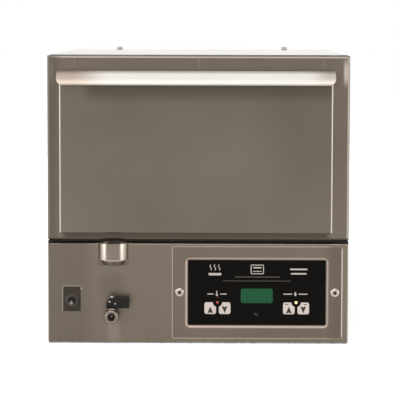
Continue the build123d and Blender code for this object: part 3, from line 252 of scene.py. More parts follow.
front_steel = brushed("front_sheet", linear(113, 103, 91), linear(127, 118, 105), 0.36, 0)
# A lighter colour for painted highlights along edges, used here for the base and below for the control plate.
edge_highlight_colour = linear(160, 149, 138)
base_outline = from_outline(front_steel, (0, 84), (250, 84), 3)
painted_edge_highlights = band(front_steel, base_outline, 0, 1.3, 0.8)
mark(front_steel, painted_edge_highlights, edge_highlight_colour)
# A painted reflection: a lighter streak on the base under the valve.
painted_reflection_streak = patch(front_steel, (-141, 4, 12), (18, 12, 12), 0.32)
mark(front_steel, painted_reflection_streak, linear(156, 144, 132))
# Painted shade: darker towards the base's left end, and a darker patch over the valve.
left_shade = strip(front_steel, "X", -232, 34, 40, 0.75)
mark(front_steel, left_shade, linear(104, 95, 84))
valve_shade = patch(front_steel, (-146, 12, 16), (98, 10, 14), 0.3)
mark(front_steel, valve_shade, linear(92, 84, 75))
dress("service_panel", front_steel)
side_steel = brushed("side_sheet", linear(126, 119, 110), linear(142, 135, 126), 0.3, 1)
dress("outer_casing", side_steel)
frame_steel = brushed("face_frame_sheet", linear(84, 77, 69), linear(98, 91, 82), 0.4, 0)
dress("face_frame", frame_steel)

# Studs on the rear edge of the top: short pegs with a dull nickel coat that stop a unit stacked on this one
# from sliding back. They are pressed in, with a chamfered crown.


def corners_mm(node):
    """A CAD node's lowest and highest corner at rest, in mm."""
    return (np.array(corner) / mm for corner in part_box(node))


def grid_faces(rows, columns):
    """Quads between the neighbouring rows and columns of a grid of points that is numbered row by row. The
    last column joins the first."""
    row, column = np.meshgrid(np.arange(rows - 1), np.arange(columns), indexing="ij")
    beside = (column + 1) % columns
    corners = [(row, column), (row, beside), (row + 1, beside), (row + 1, column)]
    return np.stack([a * columns + b for a, b in corners], -1).reshape(-1, 4).tolist()


def piece(name, points, faces, material, body):
    """A mesh object from points in mm and faces. Doubles are merged, the faces are turned outwards, and edges
    sharper than the crease stay sharp in the smooth shading."""
    crease = math.radians(40)
    mesh = bpy.data.meshes.new(name)
    mesh.from_pydata(np.asarray(points).reshape(-1, 3) * mm, [], faces)
    merged = bmesh.new()
    merged.from_mesh(mesh)
    bmesh.ops.remove_doubles(merged, verts=merged.verts, dist=1e-6)
    bmesh.ops.recalc_face_normals(merged, faces=merged.faces)
    merged.to_mesh(mesh)
    merged.free()
    mesh.materials.append(material)
    mesh.shade_smooth()
    mesh.set_sharp_from_angle(angle=crease)
    made = bpy.data.objects.new(name, mesh)
    bpy.context.scene.collection.objects.link(made)
    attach(made, body)
    return made


def eased(corners, radius, steps=5, closed=True):
    """A polygon with its corners rounded: each corner C becomes the curve (1-t)^2 A + 2t(1-t) C + t^2 B, with
    A and B on its two sides, as far off as the radius or half the side. An open one keeps its two ends."""
    corner = np.asarray(corners, float)
    to_last, to_next = np.roll(corner, 1, 0) - corner, np.roll(corner, -1, 0) - corner
    last, following = np.linalg.norm(to_last, axis=1), np.linalg.norm(to_next, axis=1)
    size = np.broadcast_to(np.asarray(radius, float), last.shape)
    a = corner + to_last * (np.minimum(size, 0.49 * last) / last)[:, None]
    b = corner + to_next * (np.minimum(size, 0.49 * following) / following)[:, None]
    t = np.linspace(0, 1, steps)[None, :, None]
    curve = (1 - t) ** 2 * a[:, None] + 2 * t * (1 - t) * corner[:, None] + t**2 * b[:, None]
    if not closed:
        curve[0], curve[-1] = corner[0], corner[-1]
    return curve.reshape(-1, corner.shape[1])


def turned(name, profile, centre, axis, material, body, sides):
    """A turned piece: each (radius, height) of the profile, in mm, goes round the axis G through the centre,
    as centre + r (cos a E + sin a F) + height G. A third value from 0 to 1 draws the circle to a hexagon."""
    g = np.asarray(axis, float)
    e = np.cross(g, (0, 0, 1)) if abs(g[2]) < 0.9 else np.array([1.0, 0, 0])
    e = e / np.linalg.norm(e)
    f = np.cross(g, e)
    angle = np.linspace(0, 2 * np.pi, sides, endpoint=False)
    ring = np.cos(angle)[:, None] * e + np.sin(angle)[:, None] * f
    profile = np.asarray(profile, float)
    hexness = profile[:, 2:3] if profile.shape[1] > 2 else 0 * profile[:, :1]
    hexagon = 1 / np.cos((angle % (np.pi / 3)) - np.pi / 6)
    radius = profile[:, :1] * (1 + hexness * (hexagon - 1)[None])
    points = radius[:, :, None] * ring[None] + profile[:, 1:2, None] * g + np.asarray(centre, float)
    return piece(name, points, grid_faces(len(profile), sides), material, body)


stud_coat = finish("stud_coat", linear(196, 182, 174), 0.45, 0.6)
emboss(stud_coat, pattern(stud_coat, 1400.0), 0.00006, 0.4)
stud_low, stud_high = corners_mm("top_studs")
stud_radius = (stud_high[1] - stud_low[1]) / 2
stud_height = 6
stud_profile = eased(
    [
        (0, -1.1),
        (stud_radius - 0.2, -1.1),
        (stud_radius, 0.6),
        (stud_radius, stud_height - 1.6),
        (stud_radius - 1.6, stud_height),
        (0, stud_height),
    ],
    [0, 0.3, 0.4, 0.9, 0.9, 0],
    closed=False,
)
for side, x in (("left", stud_low[0] + stud_radius), ("right", stud_high[0] - stud_radius)):
    foot = (x, (stud_low[1] + stud_high[1]) / 2, stud_high[2] - stud_height)
    stud = turned(f"top_stud_{side}", stud_profile, foot, (0, 0, 1), stud_coat, "cabinet", 48)
    if side == "left":
        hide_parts("top_studs")

# Chamber liner, insulation and evaporator tank: deep-drawn stainless in a satin mill finish, packed round
# with glass wool that nothing shows of from outside.
liner_steel = brushed("liner_sheet", linear(150, 147, 142), linear(172, 169, 164), 0.32, 1, 900.0)
dress("chamber_liner", liner_steel)
dress("evaporator_tank", liner_steel)
wool = finish("glass_wool", linear(214, 203, 164), 0.95)
fibres = pattern(wool, 260.0, (1, 1, 3), 6.0, 2.0)
tint(wool, fibres, linear(186, 172, 128), linear(228, 218, 184))
emboss(wool, fibres, 0.0012)
dress("insulation_jacket", wool)
dress("drawer_core", wool)

# Heaters, their clips and the probes: a hairpin in the tank and a U round it, both of swaged tube with an
# oxidised sheath, pressed clips that hold the U off the floor, and probe stems of ground stainless steel.
heater_sheath = finish("heater_sheath", linear(96, 88, 80), 0.5, 0.9)
oxide = pattern(heater_sheath, 38.0, (1, 1, 1), 4.0)
tint(heater_sheath, oxide, linear(70, 60, 54), linear(120, 110, 96))
vary_roughness(heater_sheath, oxide, 0.38, 0.62)
dress("water_heater", heater_sheath)
dress("air_heater", heater_sheath)
dress("heater_clips", liner_steel)
probe_steel = finish("probe_stem", linear(190, 186, 180), 0.2, 1.0)
vary_roughness(probe_steel, pattern(probe_steel, 700.0), 0.12, 0.3)
dress("air_probe", probe_steel)
dress("level_probe", probe_steel)

# Fill cup: a spun stainless beaker with a rounded rim, a tapered foot and a hose spigot, satin outside. It
# stands in the notch of the service panel, and a bracket plate behind the panel is cut to its round.
cup_low, cup_high = corners_mm("fill_cup")
cup_centre = np.array([(cup_low[0] + cup_high[0]) / 2, (cup_low[1] + cup_high[1]) / 2, cup_high[2]])
cup_radius = (cup_high[0] - cup_low[0]) / 2
cup_steel = finish("satin_cup", linear(142, 130, 117), 0.26, 0.55)
cup_lines = pattern(cup_steel, 1.0, (60, 60, 2600), 3.0)
vary_roughness(cup_steel, cup_lines, 0.22, 0.3)
# Painted reflections: the cup's colour runs from a darker middle to lighter sides.
cup_middle = strip(cup_steel, "X", cup_centre[0], 10, 4)
tint(cup_steel, cup_middle, linear(226, 213, 199), linear(130, 118, 106), 0.0, 1.0)
# Painted shade on the tapered foot, and a painted highlight along the shoulder above it.
cup_foot_shade = strip(cup_steel, "Z", cup_centre[2] - 37, 7.8, 1.0)
mark(cup_steel, cup_foot_shade, linear(112, 102, 91))
cup_shoulder_highlight = strip(cup_steel, "Z", cup_centre[2] - 28.3, 0.4, 0.6)
mark(cup_steel, cup_shoulder_highlight, linear(206, 194, 180))
cup_profile = eased(
    [
        (0, -35.3),
        (cup_radius - 7.4, -35.3),
        (cup_radius - 1.2, -27),
        (cup_radius - 1.2, -0.5),
        (cup_radius - 0.6, 0),
        (cup_radius, -0.6),
        (cup_radius, -27.5),
        (cup_radius - 6, -36.5),
        (6.2, -36.5),
        (5.9, -54.5),
        (4.5, -54.5),
        (4.5, -36),
        (0, -36),
    ],
    [0, 2, 2, 0.3, 0.3, 0.3, 1.6, 1.2, 0.6, 0.3, 0.3, 0.2, 0],
    closed=False,
)
cup = turned("fill_cup_spun", cup_profile, cup_centre, (0, 0, 1), cup_steel, "cabinet", 96)
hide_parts("fill_cup")
bracket_steel = brushed("bracket_sheet", linear(106, 97, 86), linear(119, 110, 98), 0.42, 0)
opening_half, bracket_half, bracket_depth = 23.5, 30, 45
bracket_front, bracket_sheet = -328.7, 1.0
right_side = np.array([(1, 0), (1, 26.5), (0.74, 33), (0.6, 37)])
round_cup = np.concatenate([right_side, right_side[::-1] * (-1, 1)]) * (opening_half, -1)
around_cup = np.array([(-1, 0), (-1, -1), (1, -1), (1, 0)]) * (bracket_half, bracket_depth)
bracket_outline = np.concatenate([around_cup, round_cup]) + (cup_centre[0], cup_centre[2])
bracket_points = np.concatenate(
    [np.insert(bracket_outline, 1, y, axis=1) for y in (bracket_front, bracket_front + bracket_sheet)]
)
corner_count = len(bracket_outline)
bracket_faces = grid_faces(2, corner_count)
bracket_faces += [list(range(corner_count)), list(range(corner_count, 2 * corner_count))]
piece("cup_bracket", bracket_points, bracket_faces, bracket_steel, "cabinet")

# Fill hose and drain tube: milky silicone hose pushed on the spigots of the cup and the tank, and a bent
# stainless tube from the tank to the socket of the drain valve.
hose_silicone = finish("silicone_hose", linear(206, 202, 190), 0.4, 0.0, Subsurface_Weight=0.2)
emboss(hose_silicone, pattern(hose_silicone, 240.0), 0.0001, 0.3)
dress("fill_tube", hose_silicone)
dress("drain_tube", probe_steel)

# Drain valve: a nickel-plated brass ball valve with a turned mouth ring and a neck for the stem, held by the
# panel. A black vinyl sleeve covers its lever, with two small rivets, and a nut holds it to the stem.
nickel = finish("nickel_plate", linear(150, 139, 127), 0.22, 1.0)
wear = pattern(nickel, 420.0, (1, 1, 1), 3.0)
tint(nickel, wear, linear(134, 123, 111), linear(160, 149, 137))
vary_roughness(nickel, wear, 0.16, 0.32)
emboss(nickel, wear, 0.00002, 0.3)
valve_low, valve_high = corners_mm("drain_valve_body")
valve_x = (valve_low[0] + valve_high[0]) / 2
ring_radius = 12
valve_z = valve_low[2] + ring_radius
stem_back = np.array([0, 17, 0])
barrel_profile = eased(
    [
        (0, -26),
        (8.8, -26),
        (8.8, -9.7),
        (4.6, -9.7),
        (4.6, -8),
        (6.25, -8),
        (6.25, -0.6),
        (6.9, 0),
        (8.2, 0),
        (9, -0.8),
        (9, -2.4),
        (10.6, -3),
        (ring_radius, -4.4),
        (ring_radius, -35),
        (8.6, -35),
        (8.6, -64),
        (7.6, -65),
        (0, -65),
    ],
    [0, 0.3, 0.3, 0.2, 0.2, 0.3, 0.4, 0.4, 0.5, 0.5, 0.3, 0.5, 0.8, 0.3, 0.3, 0.5, 0.5, 0],
    closed=False,
)
mouth = np.array([valve_x, valve_low[1], valve_z])
barrel = turned("drain_valve_barrel", barrel_profile, mouth, (0, -1, 0), nickel, "cabinet", 72)
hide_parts("drain_valve_body")
# Painted shade on the valve: the bore is painted dark inside, and darker rings are painted on the mouth's
# front face and on the outer edge of the mouth ring.
bore = from_outline(nickel, (valve_x, valve_z), (9, 9), 9)
bore_shade = band(nickel, bore, -6.2, 3.4, 0.15)
mark(nickel, bore_shade, linear(54, 48, 43))
ring_edge_shade = band(nickel, bore, 2.5, 0.6, 0.5)
mark(nickel, ring_edge_shade, linear(88, 79, 70))
mouth_face_shade = band(nickel, bore, -1.4, 0.5, 0.5)
mark(nickel, mouth_face_shade, linear(100, 91, 82))
neck_profile = [(3.2, 7), (3.2, 12.4), (3.7, 13), (5.8, 13), (6.5, 12.3), (6.5, 7), (3.2, 7)]
# The ball is painted much darker than the valve's nickel: painted shade for where it sits deep in the bore.
ball_nickel = finish("shaded_ball", linear(92, 86, 80), 0.3, 1.0)
vary_roughness(ball_nickel, pattern(ball_nickel, 300.0), 0.22, 0.42)
dress("drain_valve_ball", ball_nickel)
bright_metal = finish("bright_screw", linear(176, 166, 154), 0.2, 1.0)
vary_roughness(bright_metal, pattern(bright_metal, 900.0, (1, 1, 1), 2.0), 0.14, 0.3)
dress("drain_lever_nut", bright_metal)
turned("drain_valve_neck", neck_profile, mouth + stem_back, (0, 0, 1), bright_metal, "cabinet", 48)


def shrunk(outline, inset):
    """A closed outline moved inward: each point goes by the inset along the normal of the line through its
    two neighbours, P + inset N."""
    along = np.roll(outline, -1, 0) - np.roll(outline, 1, 0)
    along = along / np.linalg.norm(along, axis=1)[:, None]
    area = np.sum(outline[:, 0] * np.roll(outline[:, 1], -1) - np.roll(outline[:, 0], -1) * outline[:, 1])
    return outline + inset * np.sign(area) * np.stack([-along[:, 1], along[:, 0]], 1)


def slab(outline, rings):
    """A plate that faces the front: for each (inset, y) of the rings, the outline in X and Z is drawn in by
    the inset and set at that y, with a flat face across the first and the last. Gives points and faces."""
    step = np.linalg.norm(outline - np.roll(outline, 1, 0), axis=1)
    outline = outline[step > 1e-4]
    drawn = [np.insert(shrunk(outline, inset), 1, y, axis=1) for inset, y in rings]
    count = len(outline)
    faces = grid_faces(len(rings), count)
    faces += [list(range(count)), list(range((len(rings) - 1) * count, len(rings) * count))]
    return np.concatenate(drawn), faces


sleeve_vinyl = finish("lever_sleeve", linear(30, 29, 27), 0.5, 0.0, Specular_IOR_Level=0.2)
emboss(sleeve_vinyl, pattern(sleeve_vinyl, 1800.0), 0.00005, 0.35)
lever_low, lever_high = corners_mm("drain_valve_lever")
lever_outline = eased(
    [
        (lever_low[0], lever_low[2]),
        (lever_high[0], lever_low[2]),
        (lever_high[0], lever_high[2]),
        (lever_low[0] + 7, lever_high[2]),
        (lever_low[0], lever_high[2] - 9),
    ],
    [1.2, 2.2, 2.2, 1.6, 1.6],
    7,
)
lever_rings = [(2.0, -5.4), (0.8, -5.1), (0.2, -4.4), (0, -3.4), (0, 3.4), (0.2, 4.4), (0.8, 5.1), (2.0, 5.4)]
lever_points, lever_faces = slab(lever_outline, lever_rings)
tip_thinning = 0.33
lever_points[:, 1] *= 1 - tip_thinning * (lever_points[:, 0] - lever_low[0]) / (lever_high[0] - lever_low[0])
lever_points += (0, mouth[1] + stem_back[1], 0)
sleeve = piece("lever_sleeve", lever_points, lever_faces, sleeve_vinyl, "drain_handle")
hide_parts("drain_valve_lever")
rivet_profile = [(0, 1.1), (0.8, 1.0), (1.35, 0.6), (1.6, 0), (1.6, -0.8), (0, -0.8)]
for number, (x, z) in enumerate([(valve_x - 3.3, 72.6), (valve_x + 5.8, 69.3)], 1):
    sleeve_face = 5.2 - 0.05 * (x - lever_low[0])
    seat = (x, mouth[1] + stem_back[1] - sleeve_face, z)
    turned(
        f"lever_rivet_{number}", rivet_profile, seat, (0, -1, 0), bright_metal, "drain_handle", 24
    )

# Control plate: a stainless plate with a drawn recess for the key field, screwed down at its two ends. The
# slope of the recess has a painted reflection and a painted highlight, and the plate's edges have painted
# highlights.
plate_steel = brushed("control_plate_sheet", linear(106, 96, 85), linear(119, 109, 97), 0.36, 0)
plate_low, plate_high = corners_mm("control_plate")
plate_centre = ((plate_low[0] + plate_high[0]) / 2, (plate_low[2] + plate_high[2]) / 2)
plate_half = ((plate_high[0] - plate_low[0]) / 2, (plate_high[2] - plate_low[2]) / 2)
recess = (plate_centre[0] - 0.5, plate_centre[1] - 0.5)
# Painted highlights along the plate's edges.
plate_edge = from_outline(plate_steel, plate_centre, plate_half, 3)
plate_rim_highlight = band(plate_steel, plate_edge, -0.6, 0.7, 0.7)
mark(plate_steel, plate_rim_highlight, edge_highlight_colour)
recess_half = (119.55, 59.35)
# A painted reflection and a painted highlight on the slope of the recess.
slope = from_outline(plate_steel, recess, recess_half, 9)
slope_reflection = band(plate_steel, slope, -2.6, 2.4, 1.2)
mark(plate_steel, slope_reflection, linear(132, 117, 107))
slope_glint = band(plate_steel, slope, -2.0, 0.6, 0.8)
mark(plate_steel, slope_glint, linear(176, 161, 149))
# Painted shade towards the plate's right end, and a painted highlight on its right edge.
right_shade = strip(plate_steel, "X", 240, 10, 22, 0.6)
mark(plate_steel, right_shade, linear(98, 88, 78))
right_edge_highlight = patch(plate_steel, (plate_high[0] - 0.8, 0.8, 0.8), (86, 70, 8), 0.8)
mark(plate_steel, right_edge_highlight, linear(206, 193, 184))
dress("control_plate", plate_steel)
solder_mask = finish("solder_mask", linear(24, 52, 34), 0.5)
tint(solder_mask, pattern(solder_mask, 180.0), linear(20, 46, 30), linear(30, 62, 40))
dress("control_board", solder_mask)
screw_bright = finish("socket_screw", linear(190, 180, 168), 0.22, 1.0)
tint(screw_bright, pattern(screw_bright, 700.0), linear(178, 168, 156), linear(198, 188, 176))
head_low, head_high = corners_mm("control_plate_screws")
head_radius = (head_high[2] - head_low[2]) / 2
head_profile = eased(
    [
        (0, -3.4, 0),
        (2.7, -3.4, 1),
        (2.7, 1.9, 1),
        (3.5, 2.4, 0.7),
        (head_radius - 3.2, 2.1, 0),
        (head_radius - 0.8, 0.9, 0),
        (head_radius, 0, 0),
        (head_radius, -0.2, 0),
        (3.6, -0.2, 0),
        (3.6, -8.5, 0),
        (0, -8.5, 0),
    ],
    [0, 0.1, 0.1, 0.3, 1.2, 0.8, 0.1, 0.05, 0.1, 0.3, 0],
    closed=False,
)
for side, x in (("left", head_low[0] + head_radius), ("right", head_high[0] - head_radius)):
    seat = (x, plate_low[1], (head_low[2] + head_high[2]) / 2)
    socket = from_outline(screw_bright, (seat[0], seat[2]), (3, 3), 3)
    socket_shade = band(screw_bright, socket, -3, 3.0, 0.4)
    mark(screw_bright, socket_shade, linear(70, 62, 54))
    screw = turned(
        f"plate_screw_{side}", head_profile, seat, (0, -1, 0), screw_bright, "cabinet", 72
    )
    if side == "left":
        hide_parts("control_plate_screws")

# Control overlay: polycarbonate film printed black from behind, with plain bars and generic signs for heat,
# steam and the drawer where a maker would print words.
film = finish("overlay_film", linear(12, 10, 9), 0.46, 0.0, Specular_IOR_Level=0.06)
velvet = pattern(film, 3200.0, (1, 1, 1), 2.0)
tint(film, velvet, linear(9, 8, 6), linear(14, 12, 10))
emboss(film, velvet, 0.00001, 0.3)
vary_roughness(film, velvet, 0.36, 0.5)
dress("control_overlay", film)
film_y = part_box("control_overlay")[0][1] / mm
ink = finish("legend_ink", linear(214, 203, 194), 0.6, 0.0, Specular_IOR_Level=0.2)
emboss(ink, pattern(ink, 2600.0), 0.000008, 0.3)
dim_ink = finish("dim_ink", linear(112, 105, 98), 0.6, 0.0, Specular_IOR_Level=0.2)
emboss(dim_ink, pattern(dim_ink, 2600.0), 0.000008, 0.3)
red_ink = finish("red_ink", linear(198, 62, 58), 0.5, 0.0, Specular_IOR_Level=0.2)
emboss(red_ink, pattern(red_ink, 2600.0), 0.000008, 0.3)


def together(parts):
    """Several slabs as one: their points one after another, and their faces renumbered."""
    points, faces, start = [], [], 0
    for part_points, part_faces in parts:
        points.append(part_points)
        faces += [[start + corner for corner in face] for face in part_faces]
        start += len(part_points)
    return np.concatenate(points), faces


def bar(x, z, width, height):
    """A rounded bar about a centre."""
    half = np.array([width, height]) / 2
    corners = np.array([(-1, -1), (1, -1), (1, 1), (-1, 1)]) * half + (x, z)
    return eased(corners, min(half) * 0.8, 4)


def ribbon(path, width):
    """A line of even width along a path of points: the path moved to both sides by half the width, along
    normals of the line through each point's neighbours."""
    along = np.gradient(path, axis=0)
    along /= np.linalg.norm(along, axis=1)[:, None]
    aside = np.stack([-along[:, 1], along[:, 0]], 1) * width / 2
    return np.concatenate([path - aside, (path + aside)[::-1]])


def wave(x, low, high, swing):
    """A rising wavy line: x + swing sin(2 pi s) as s goes from 0 to 1 and z from low to high."""
    share = np.linspace(0, 1, 17)
    return np.stack([x + swing * np.sin(2 * np.pi * share), low + (high - low) * share], 1)


def drop(x, z, size):
    """A drop about a centre, of half height size, that narrows towards its top: 0.55 size cos a
    (1 - 0.62 max(sin a, 0)) sideways and size sin a upwards."""
    a = np.linspace(0, 2 * np.pi, 24, endpoint=False)
    narrowing = 1 - 0.62 * np.clip(np.sin(a), 0, 1)
    return np.stack([x + 0.55 * size * np.cos(a) * narrowing, z + size * np.sin(a)], 1)


def ring_of(x, z, radius):
    """A circle as an outline of 24 points."""
    a = np.linspace(0, 2 * np.pi, 24, endpoint=False)
    return np.stack([x + radius * np.cos(a), z + radius * np.sin(a)], 1)


def printed(name, outlines, y, material, body):
    """Flat signs 0.06 mm thick on a face at y, one slab for each outline."""
    points, faces = together([slab(outline, [(0, y - 0.06), (0, y)]) for outline in outlines])
    return piece(name, points, faces, material, body)


pan_z = 118.5
pan_half = np.array([(14, 0), (14, 1.8), (11.5, 1.8), (10, -4)])
pan = eased(np.concatenate([pan_half, pan_half[::-1] * (-1, 1)]) + (28, pan_z), 0.6, 3)
steam = [ribbon(wave(x, pan_z + 4.5, pan_z + 14, 1.2), 1.3) for x in (21, 28, 35)]
printed("steam_pan_sign", steam + [pan], film_y, ink, "cabinet")
drawer_frame = [bar(98.5, z, 22, 1.4) for z in (132, 117.5)] + [bar(x, 124.8, 1.4, 15) for x in (88.2, 108.8)]
drawer_lines = [bar(98.5, 127.5, 14, 2.2), bar(98.5, 121.5, 14, 1.2)]
printed("drawer_sign", drawer_frame + drawer_lines, film_y, ink, "cabinet")
printed("right_title_bars", [bar(167.5, 125, 29, 2.6), bar(167.5, 117.6, 26, 2.6)], film_y, ink, "cabinet")
printed("centre_rules", [bar(98.8, 112, 75, 1.1), bar(98.1, 105.3, 113, 0.8)], film_y, dim_ink, "cabinet")
thermometer = [bar(31.2, 85.6, 1.8, 6), ring_of(31.2, 81.6, 1.9)]
heat_bars = [bar(20.6, 83.2, 10.4, 1.7), bar(42.2, 83.2, 11, 1.7)]
printed("heat_label", thermometer + heat_bars, film_y, ink, "cabinet")
steam_bars = [bar(149.3, 83.4, 15, 1.7), bar(174.8, 83.4, 15, 1.7)]
printed("steam_label", [drop(162, 83.7, 3.6)] + steam_bars, film_y, ink, "cabinet")
unit_lines = [ribbon(ring_of(95.5, 49.8, 1.6), 0.6), ribbon(wave(99, 45.5, 50.5, 0.6), 0.7)]
printed("unit_mark", unit_lines, film_y, dim_ink, "cabinet")

# Display: a tinted green window of moulded acrylic over the digits, set in an opening of the film. It is dark
# while the drawer is off, and shows faint upright cells.


def front_rectangle(low, high):
    """The corners, in X and Z, of the rectangle that a box shows to the front."""
    return [(low[0], low[2]), (high[0], low[2]), (high[0], high[2]), (low[0], high[2])]


lens_low, lens_high = corners_mm("display_lens")
lens = finish("display_lens_tint", linear(40, 100, 66), 0.3, 0.0, Specular_IOR_Level=0.15)
cells = pattern(lens, 1.0, (900, 1, 60), 1.0)
tint(lens, cells, linear(28, 84, 52), linear(38, 102, 66), 0.35, 0.65)
lens_rings = [(0.7, lens_low[1]), (0.2, lens_low[1] + 0.2), (0, lens_low[1] + 0.6), (0, lens_high[1])]
lens_points, lens_faces = slab(eased(front_rectangle(lens_low, lens_high), 4.6, 6), lens_rings)
window = piece("display_window", lens_points, lens_faces, lens, "cabinet")
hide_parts("display_lens")

# Keys: moulded caps in off-white, bitten round the lamp between each pair, with a printed arrowhead each and
# a bar on the right pair.
key_cap = finish("key_cap", linear(232, 219, 212), 0.5, 0.0, Specular_IOR_Level=0.3)
moulding = pattern(key_cap, 2600.0)
tint(key_cap, moulding, linear(229, 214, 206), linear(239, 225, 217))
emboss(key_cap, moulding, 0.00001, 0.3)
arrow_ink = finish("arrow_ink", linear(62, 54, 48), 0.6, 0.0, Specular_IOR_Level=0.2)
emboss(arrow_ink, pattern(arrow_ink, 2600.0), 0.000008, 0.3)
arrow = np.array([(0, 5.6), (4.7, -5.6), (1.7, -5.6), (0, -4.0), (-1.7, -5.6), (-4.7, -5.6)])
half_width, half_height, bite, bite_from_middle = 9.7, 9.9, 7.9, 12
bend = np.linspace(np.pi, 1.5 * np.pi - np.arcsin((bite_from_middle - half_width) / bite), 14)
bitten = np.stack([bite_from_middle + bite * np.cos(bend), half_height + 0.1 + bite * np.sin(bend)], 1)
unbitten = [(1, 0), (1, -1), (-1, -1), (-1, 1), (0, 1)]
unbitten = eased(np.array(unbitten) * (half_width, half_height), [0, 4, 4, 4, 0], 6, False)
for pair in ("left", "right"):
    for way, turn in (("up", 1), ("down", -1)):
        low, high = corners_mm(f"{pair}_{way}_key")
        middle = np.array([(low[0] + high[0]) / 2, (low[2] + high[2]) / 2 + 0.9])
        cap_outline = np.concatenate([bitten, unbitten]) * (turn, 1) + middle
        cap_rings = [(0.8, low[1]), (0.3, low[1] + 0.12), (0, low[1] + 0.5), (0, low[1] + 2.2)]
        cap_points, cap_faces = slab(cap_outline, cap_rings)
        button = f"{pair}_{way}_button"
        cap = piece(f"{pair}_{way}_cap", cap_points, cap_faces, key_cap, button)
        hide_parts(f"{pair}_{way}_key")
        signs = [arrow * (1, turn) + middle + (0, -2.4)]
        if pair == "right":
            signs.append(bar(middle[0] - 3.6 * turn, middle[1] + 7.0, 6.4, 1.2))
        printed(f"{pair}_{way}_arrow", signs, low[1], arrow_ink, button)

# Lamps: domed lenses of coloured acrylic, lit from behind, in black bezels between the keys of each pair. A
# red pointer is printed over the left one.
for side, colour, glow_colour, strength, size, slot in (
    ("left", linear(218, 104, 104), linear(255, 96, 92), 0.22, 1.9, "red_lamp"),
    ("right", linear(250, 226, 170), linear(255, 230, 168), 0.7, 2.5, "warm_lamp"),
):
    glow = {"Emission_Color": glow_colour, "Emission_Strength": strength}
    lamp_lens = finish(f"{side}_lamp_lens", colour, 0.2, 0.0, **glow)
    vary_roughness(lamp_lens, pattern(lamp_lens, 900.0), 0.14, 0.3)
    low, high = corners_mm(f"{side}_lamp")
    seat = np.array([(low[0] + high[0]) / 2, film_y, (low[2] + high[2]) / 2])
    dome = [(0, 1.6), (0.7 * size, 1.3), (size, 0.2), (size, -8), (0, -8)]
    dome = eased(dome, [0, 0.8, 0.8, 0.2, 0], closed=False)
    lens_dome = turned(f"{side}_lamp_dome", dome, seat, (0, -1, 0), lamp_lens, "cabinet", 32)
    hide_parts(f"{side}_lamp")
    bezel_radius = 7.5
    bezel = [
        (size, -0.6),
        (size, 0.5),
        (size + 0.6, 0.7),
        (bezel_radius - 0.6, 0.25),
        (bezel_radius, 0.05),
        (bezel_radius, -0.6),
        (size, -0.6),
    ]
    turned(f"{side}_lamp_bezel", bezel, seat, (0, -1, 0), film, "cabinet", 48)
printed("heat_pointer", [bar(33.4, 75.4, 1.1, 6.4)], film_y, red_ink, "cabinet")

# Power switch: a black anodised plate with painted highlights round its opening, a dress ring and a hexagon
# nut on the bush, and a bat toggle of nickel-plated brass tipped down, which turns on a ball in the bush.
switch_black = finish("switch_plate_black", linear(54, 49, 43), 0.42, 0.0, Specular_IOR_Level=0.12)
plate_grain = pattern(switch_black, 2000.0)
tint(switch_black, plate_grain, linear(63, 56, 49), linear(74, 66, 58))
emboss(switch_black, plate_grain, 0.00002, 0.4)
switch_low, switch_high = corners_mm("switch_plate")
switch_rings = [(0.4, switch_low[1]), (0, switch_low[1] + 0.4), (0, switch_high[1])]
plate_points, plate_faces = slab(eased(front_rectangle(switch_low, switch_high), 1.0, 4), switch_rings)
backing = piece("switch_backing", plate_points, plate_faces, switch_black, "cabinet")
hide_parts("switch_plate")
# Thin strips of bright metal round the plate are painted highlights on the edges of the opening and at its
# two top corners.
highlight_metal = finish("switch_edge_highlight", linear(176, 164, 152), 0.3, 1.0)
vary_roughness(highlight_metal, pattern(highlight_metal, 800.0), 0.22, 0.38)
left, right, base, top = switch_low[0], switch_high[0], switch_low[2], switch_high[2]
edges = [
    bar(left - 0.9, (base + top) / 2 + 0.6, 1.0, top - base + 2),
    bar((left + right) / 2, top + 0.8, right - left, 0.9),
    bar(left - 0.9, top - 2.5, 2.4, 3.4),
    bar(right + 1.2, top - 3.4, 2.0, 4.2),
    bar((left + right) / 2, base - 0.5, right - left, 0.6),
]
front_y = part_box("service_panel")[0][1] / mm
edge_rings = [(0.2, front_y - 0.5), (0, front_y - 0.3), (0, front_y)]
edge_points, edge_faces = together([slab(edge, edge_rings) for edge in edges])
piece("switch_edge_highlight_strips", edge_points, edge_faces, highlight_metal, "cabinet")
ring_metal = finish("dark_ring", linear(72, 67, 62), 0.3, 0.9)
vary_roughness(ring_metal, pattern(ring_metal, 700.0), 0.22, 0.4)
nut_low, nut_high = corners_mm("switch_nut")
dress_radius = (nut_high[2] - nut_low[2]) / 2
dress_profile = eased(
    [
        (6.2, 0.2, 0),
        (6.2, 3.4, 0),
        (7.9, 3.4, 0),
        (9, 2.8, 1),
        (9, 1.1, 1),
        (dress_radius - 1, 1.0, 0),
        (dress_radius, 0.3, 0),
        (dress_radius, 0, 0),
        (6.2, 0, 0),
    ],
    [0, 0.2, 0.3, 0.3, 0.1, 0.4, 0.3, 0.1, 0],
    closed=False,
)
switch_seat = ((nut_low[0] + nut_high[0]) / 2, nut_high[1], (nut_low[2] + nut_high[2]) / 2)
ring = turned(
    "switch_ring_and_nut", dress_profile, switch_seat, (0, -1, 0), ring_metal, "cabinet", 72
)
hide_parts("switch_nut")
dress("switch_body", switch_black)
toggle_metal = finish("toggle_bat", linear(136, 130, 124), 0.38, 0.7)
vary_roughness(toggle_metal, pattern(toggle_metal, 700.0), 0.22, 0.4)
joints = {joint["name"]: joint for joint in frame["record"]["behaviour"]["joints"]}
pivot = np.array(joints["power_toggle_tip"]["pos_m"]) / mm
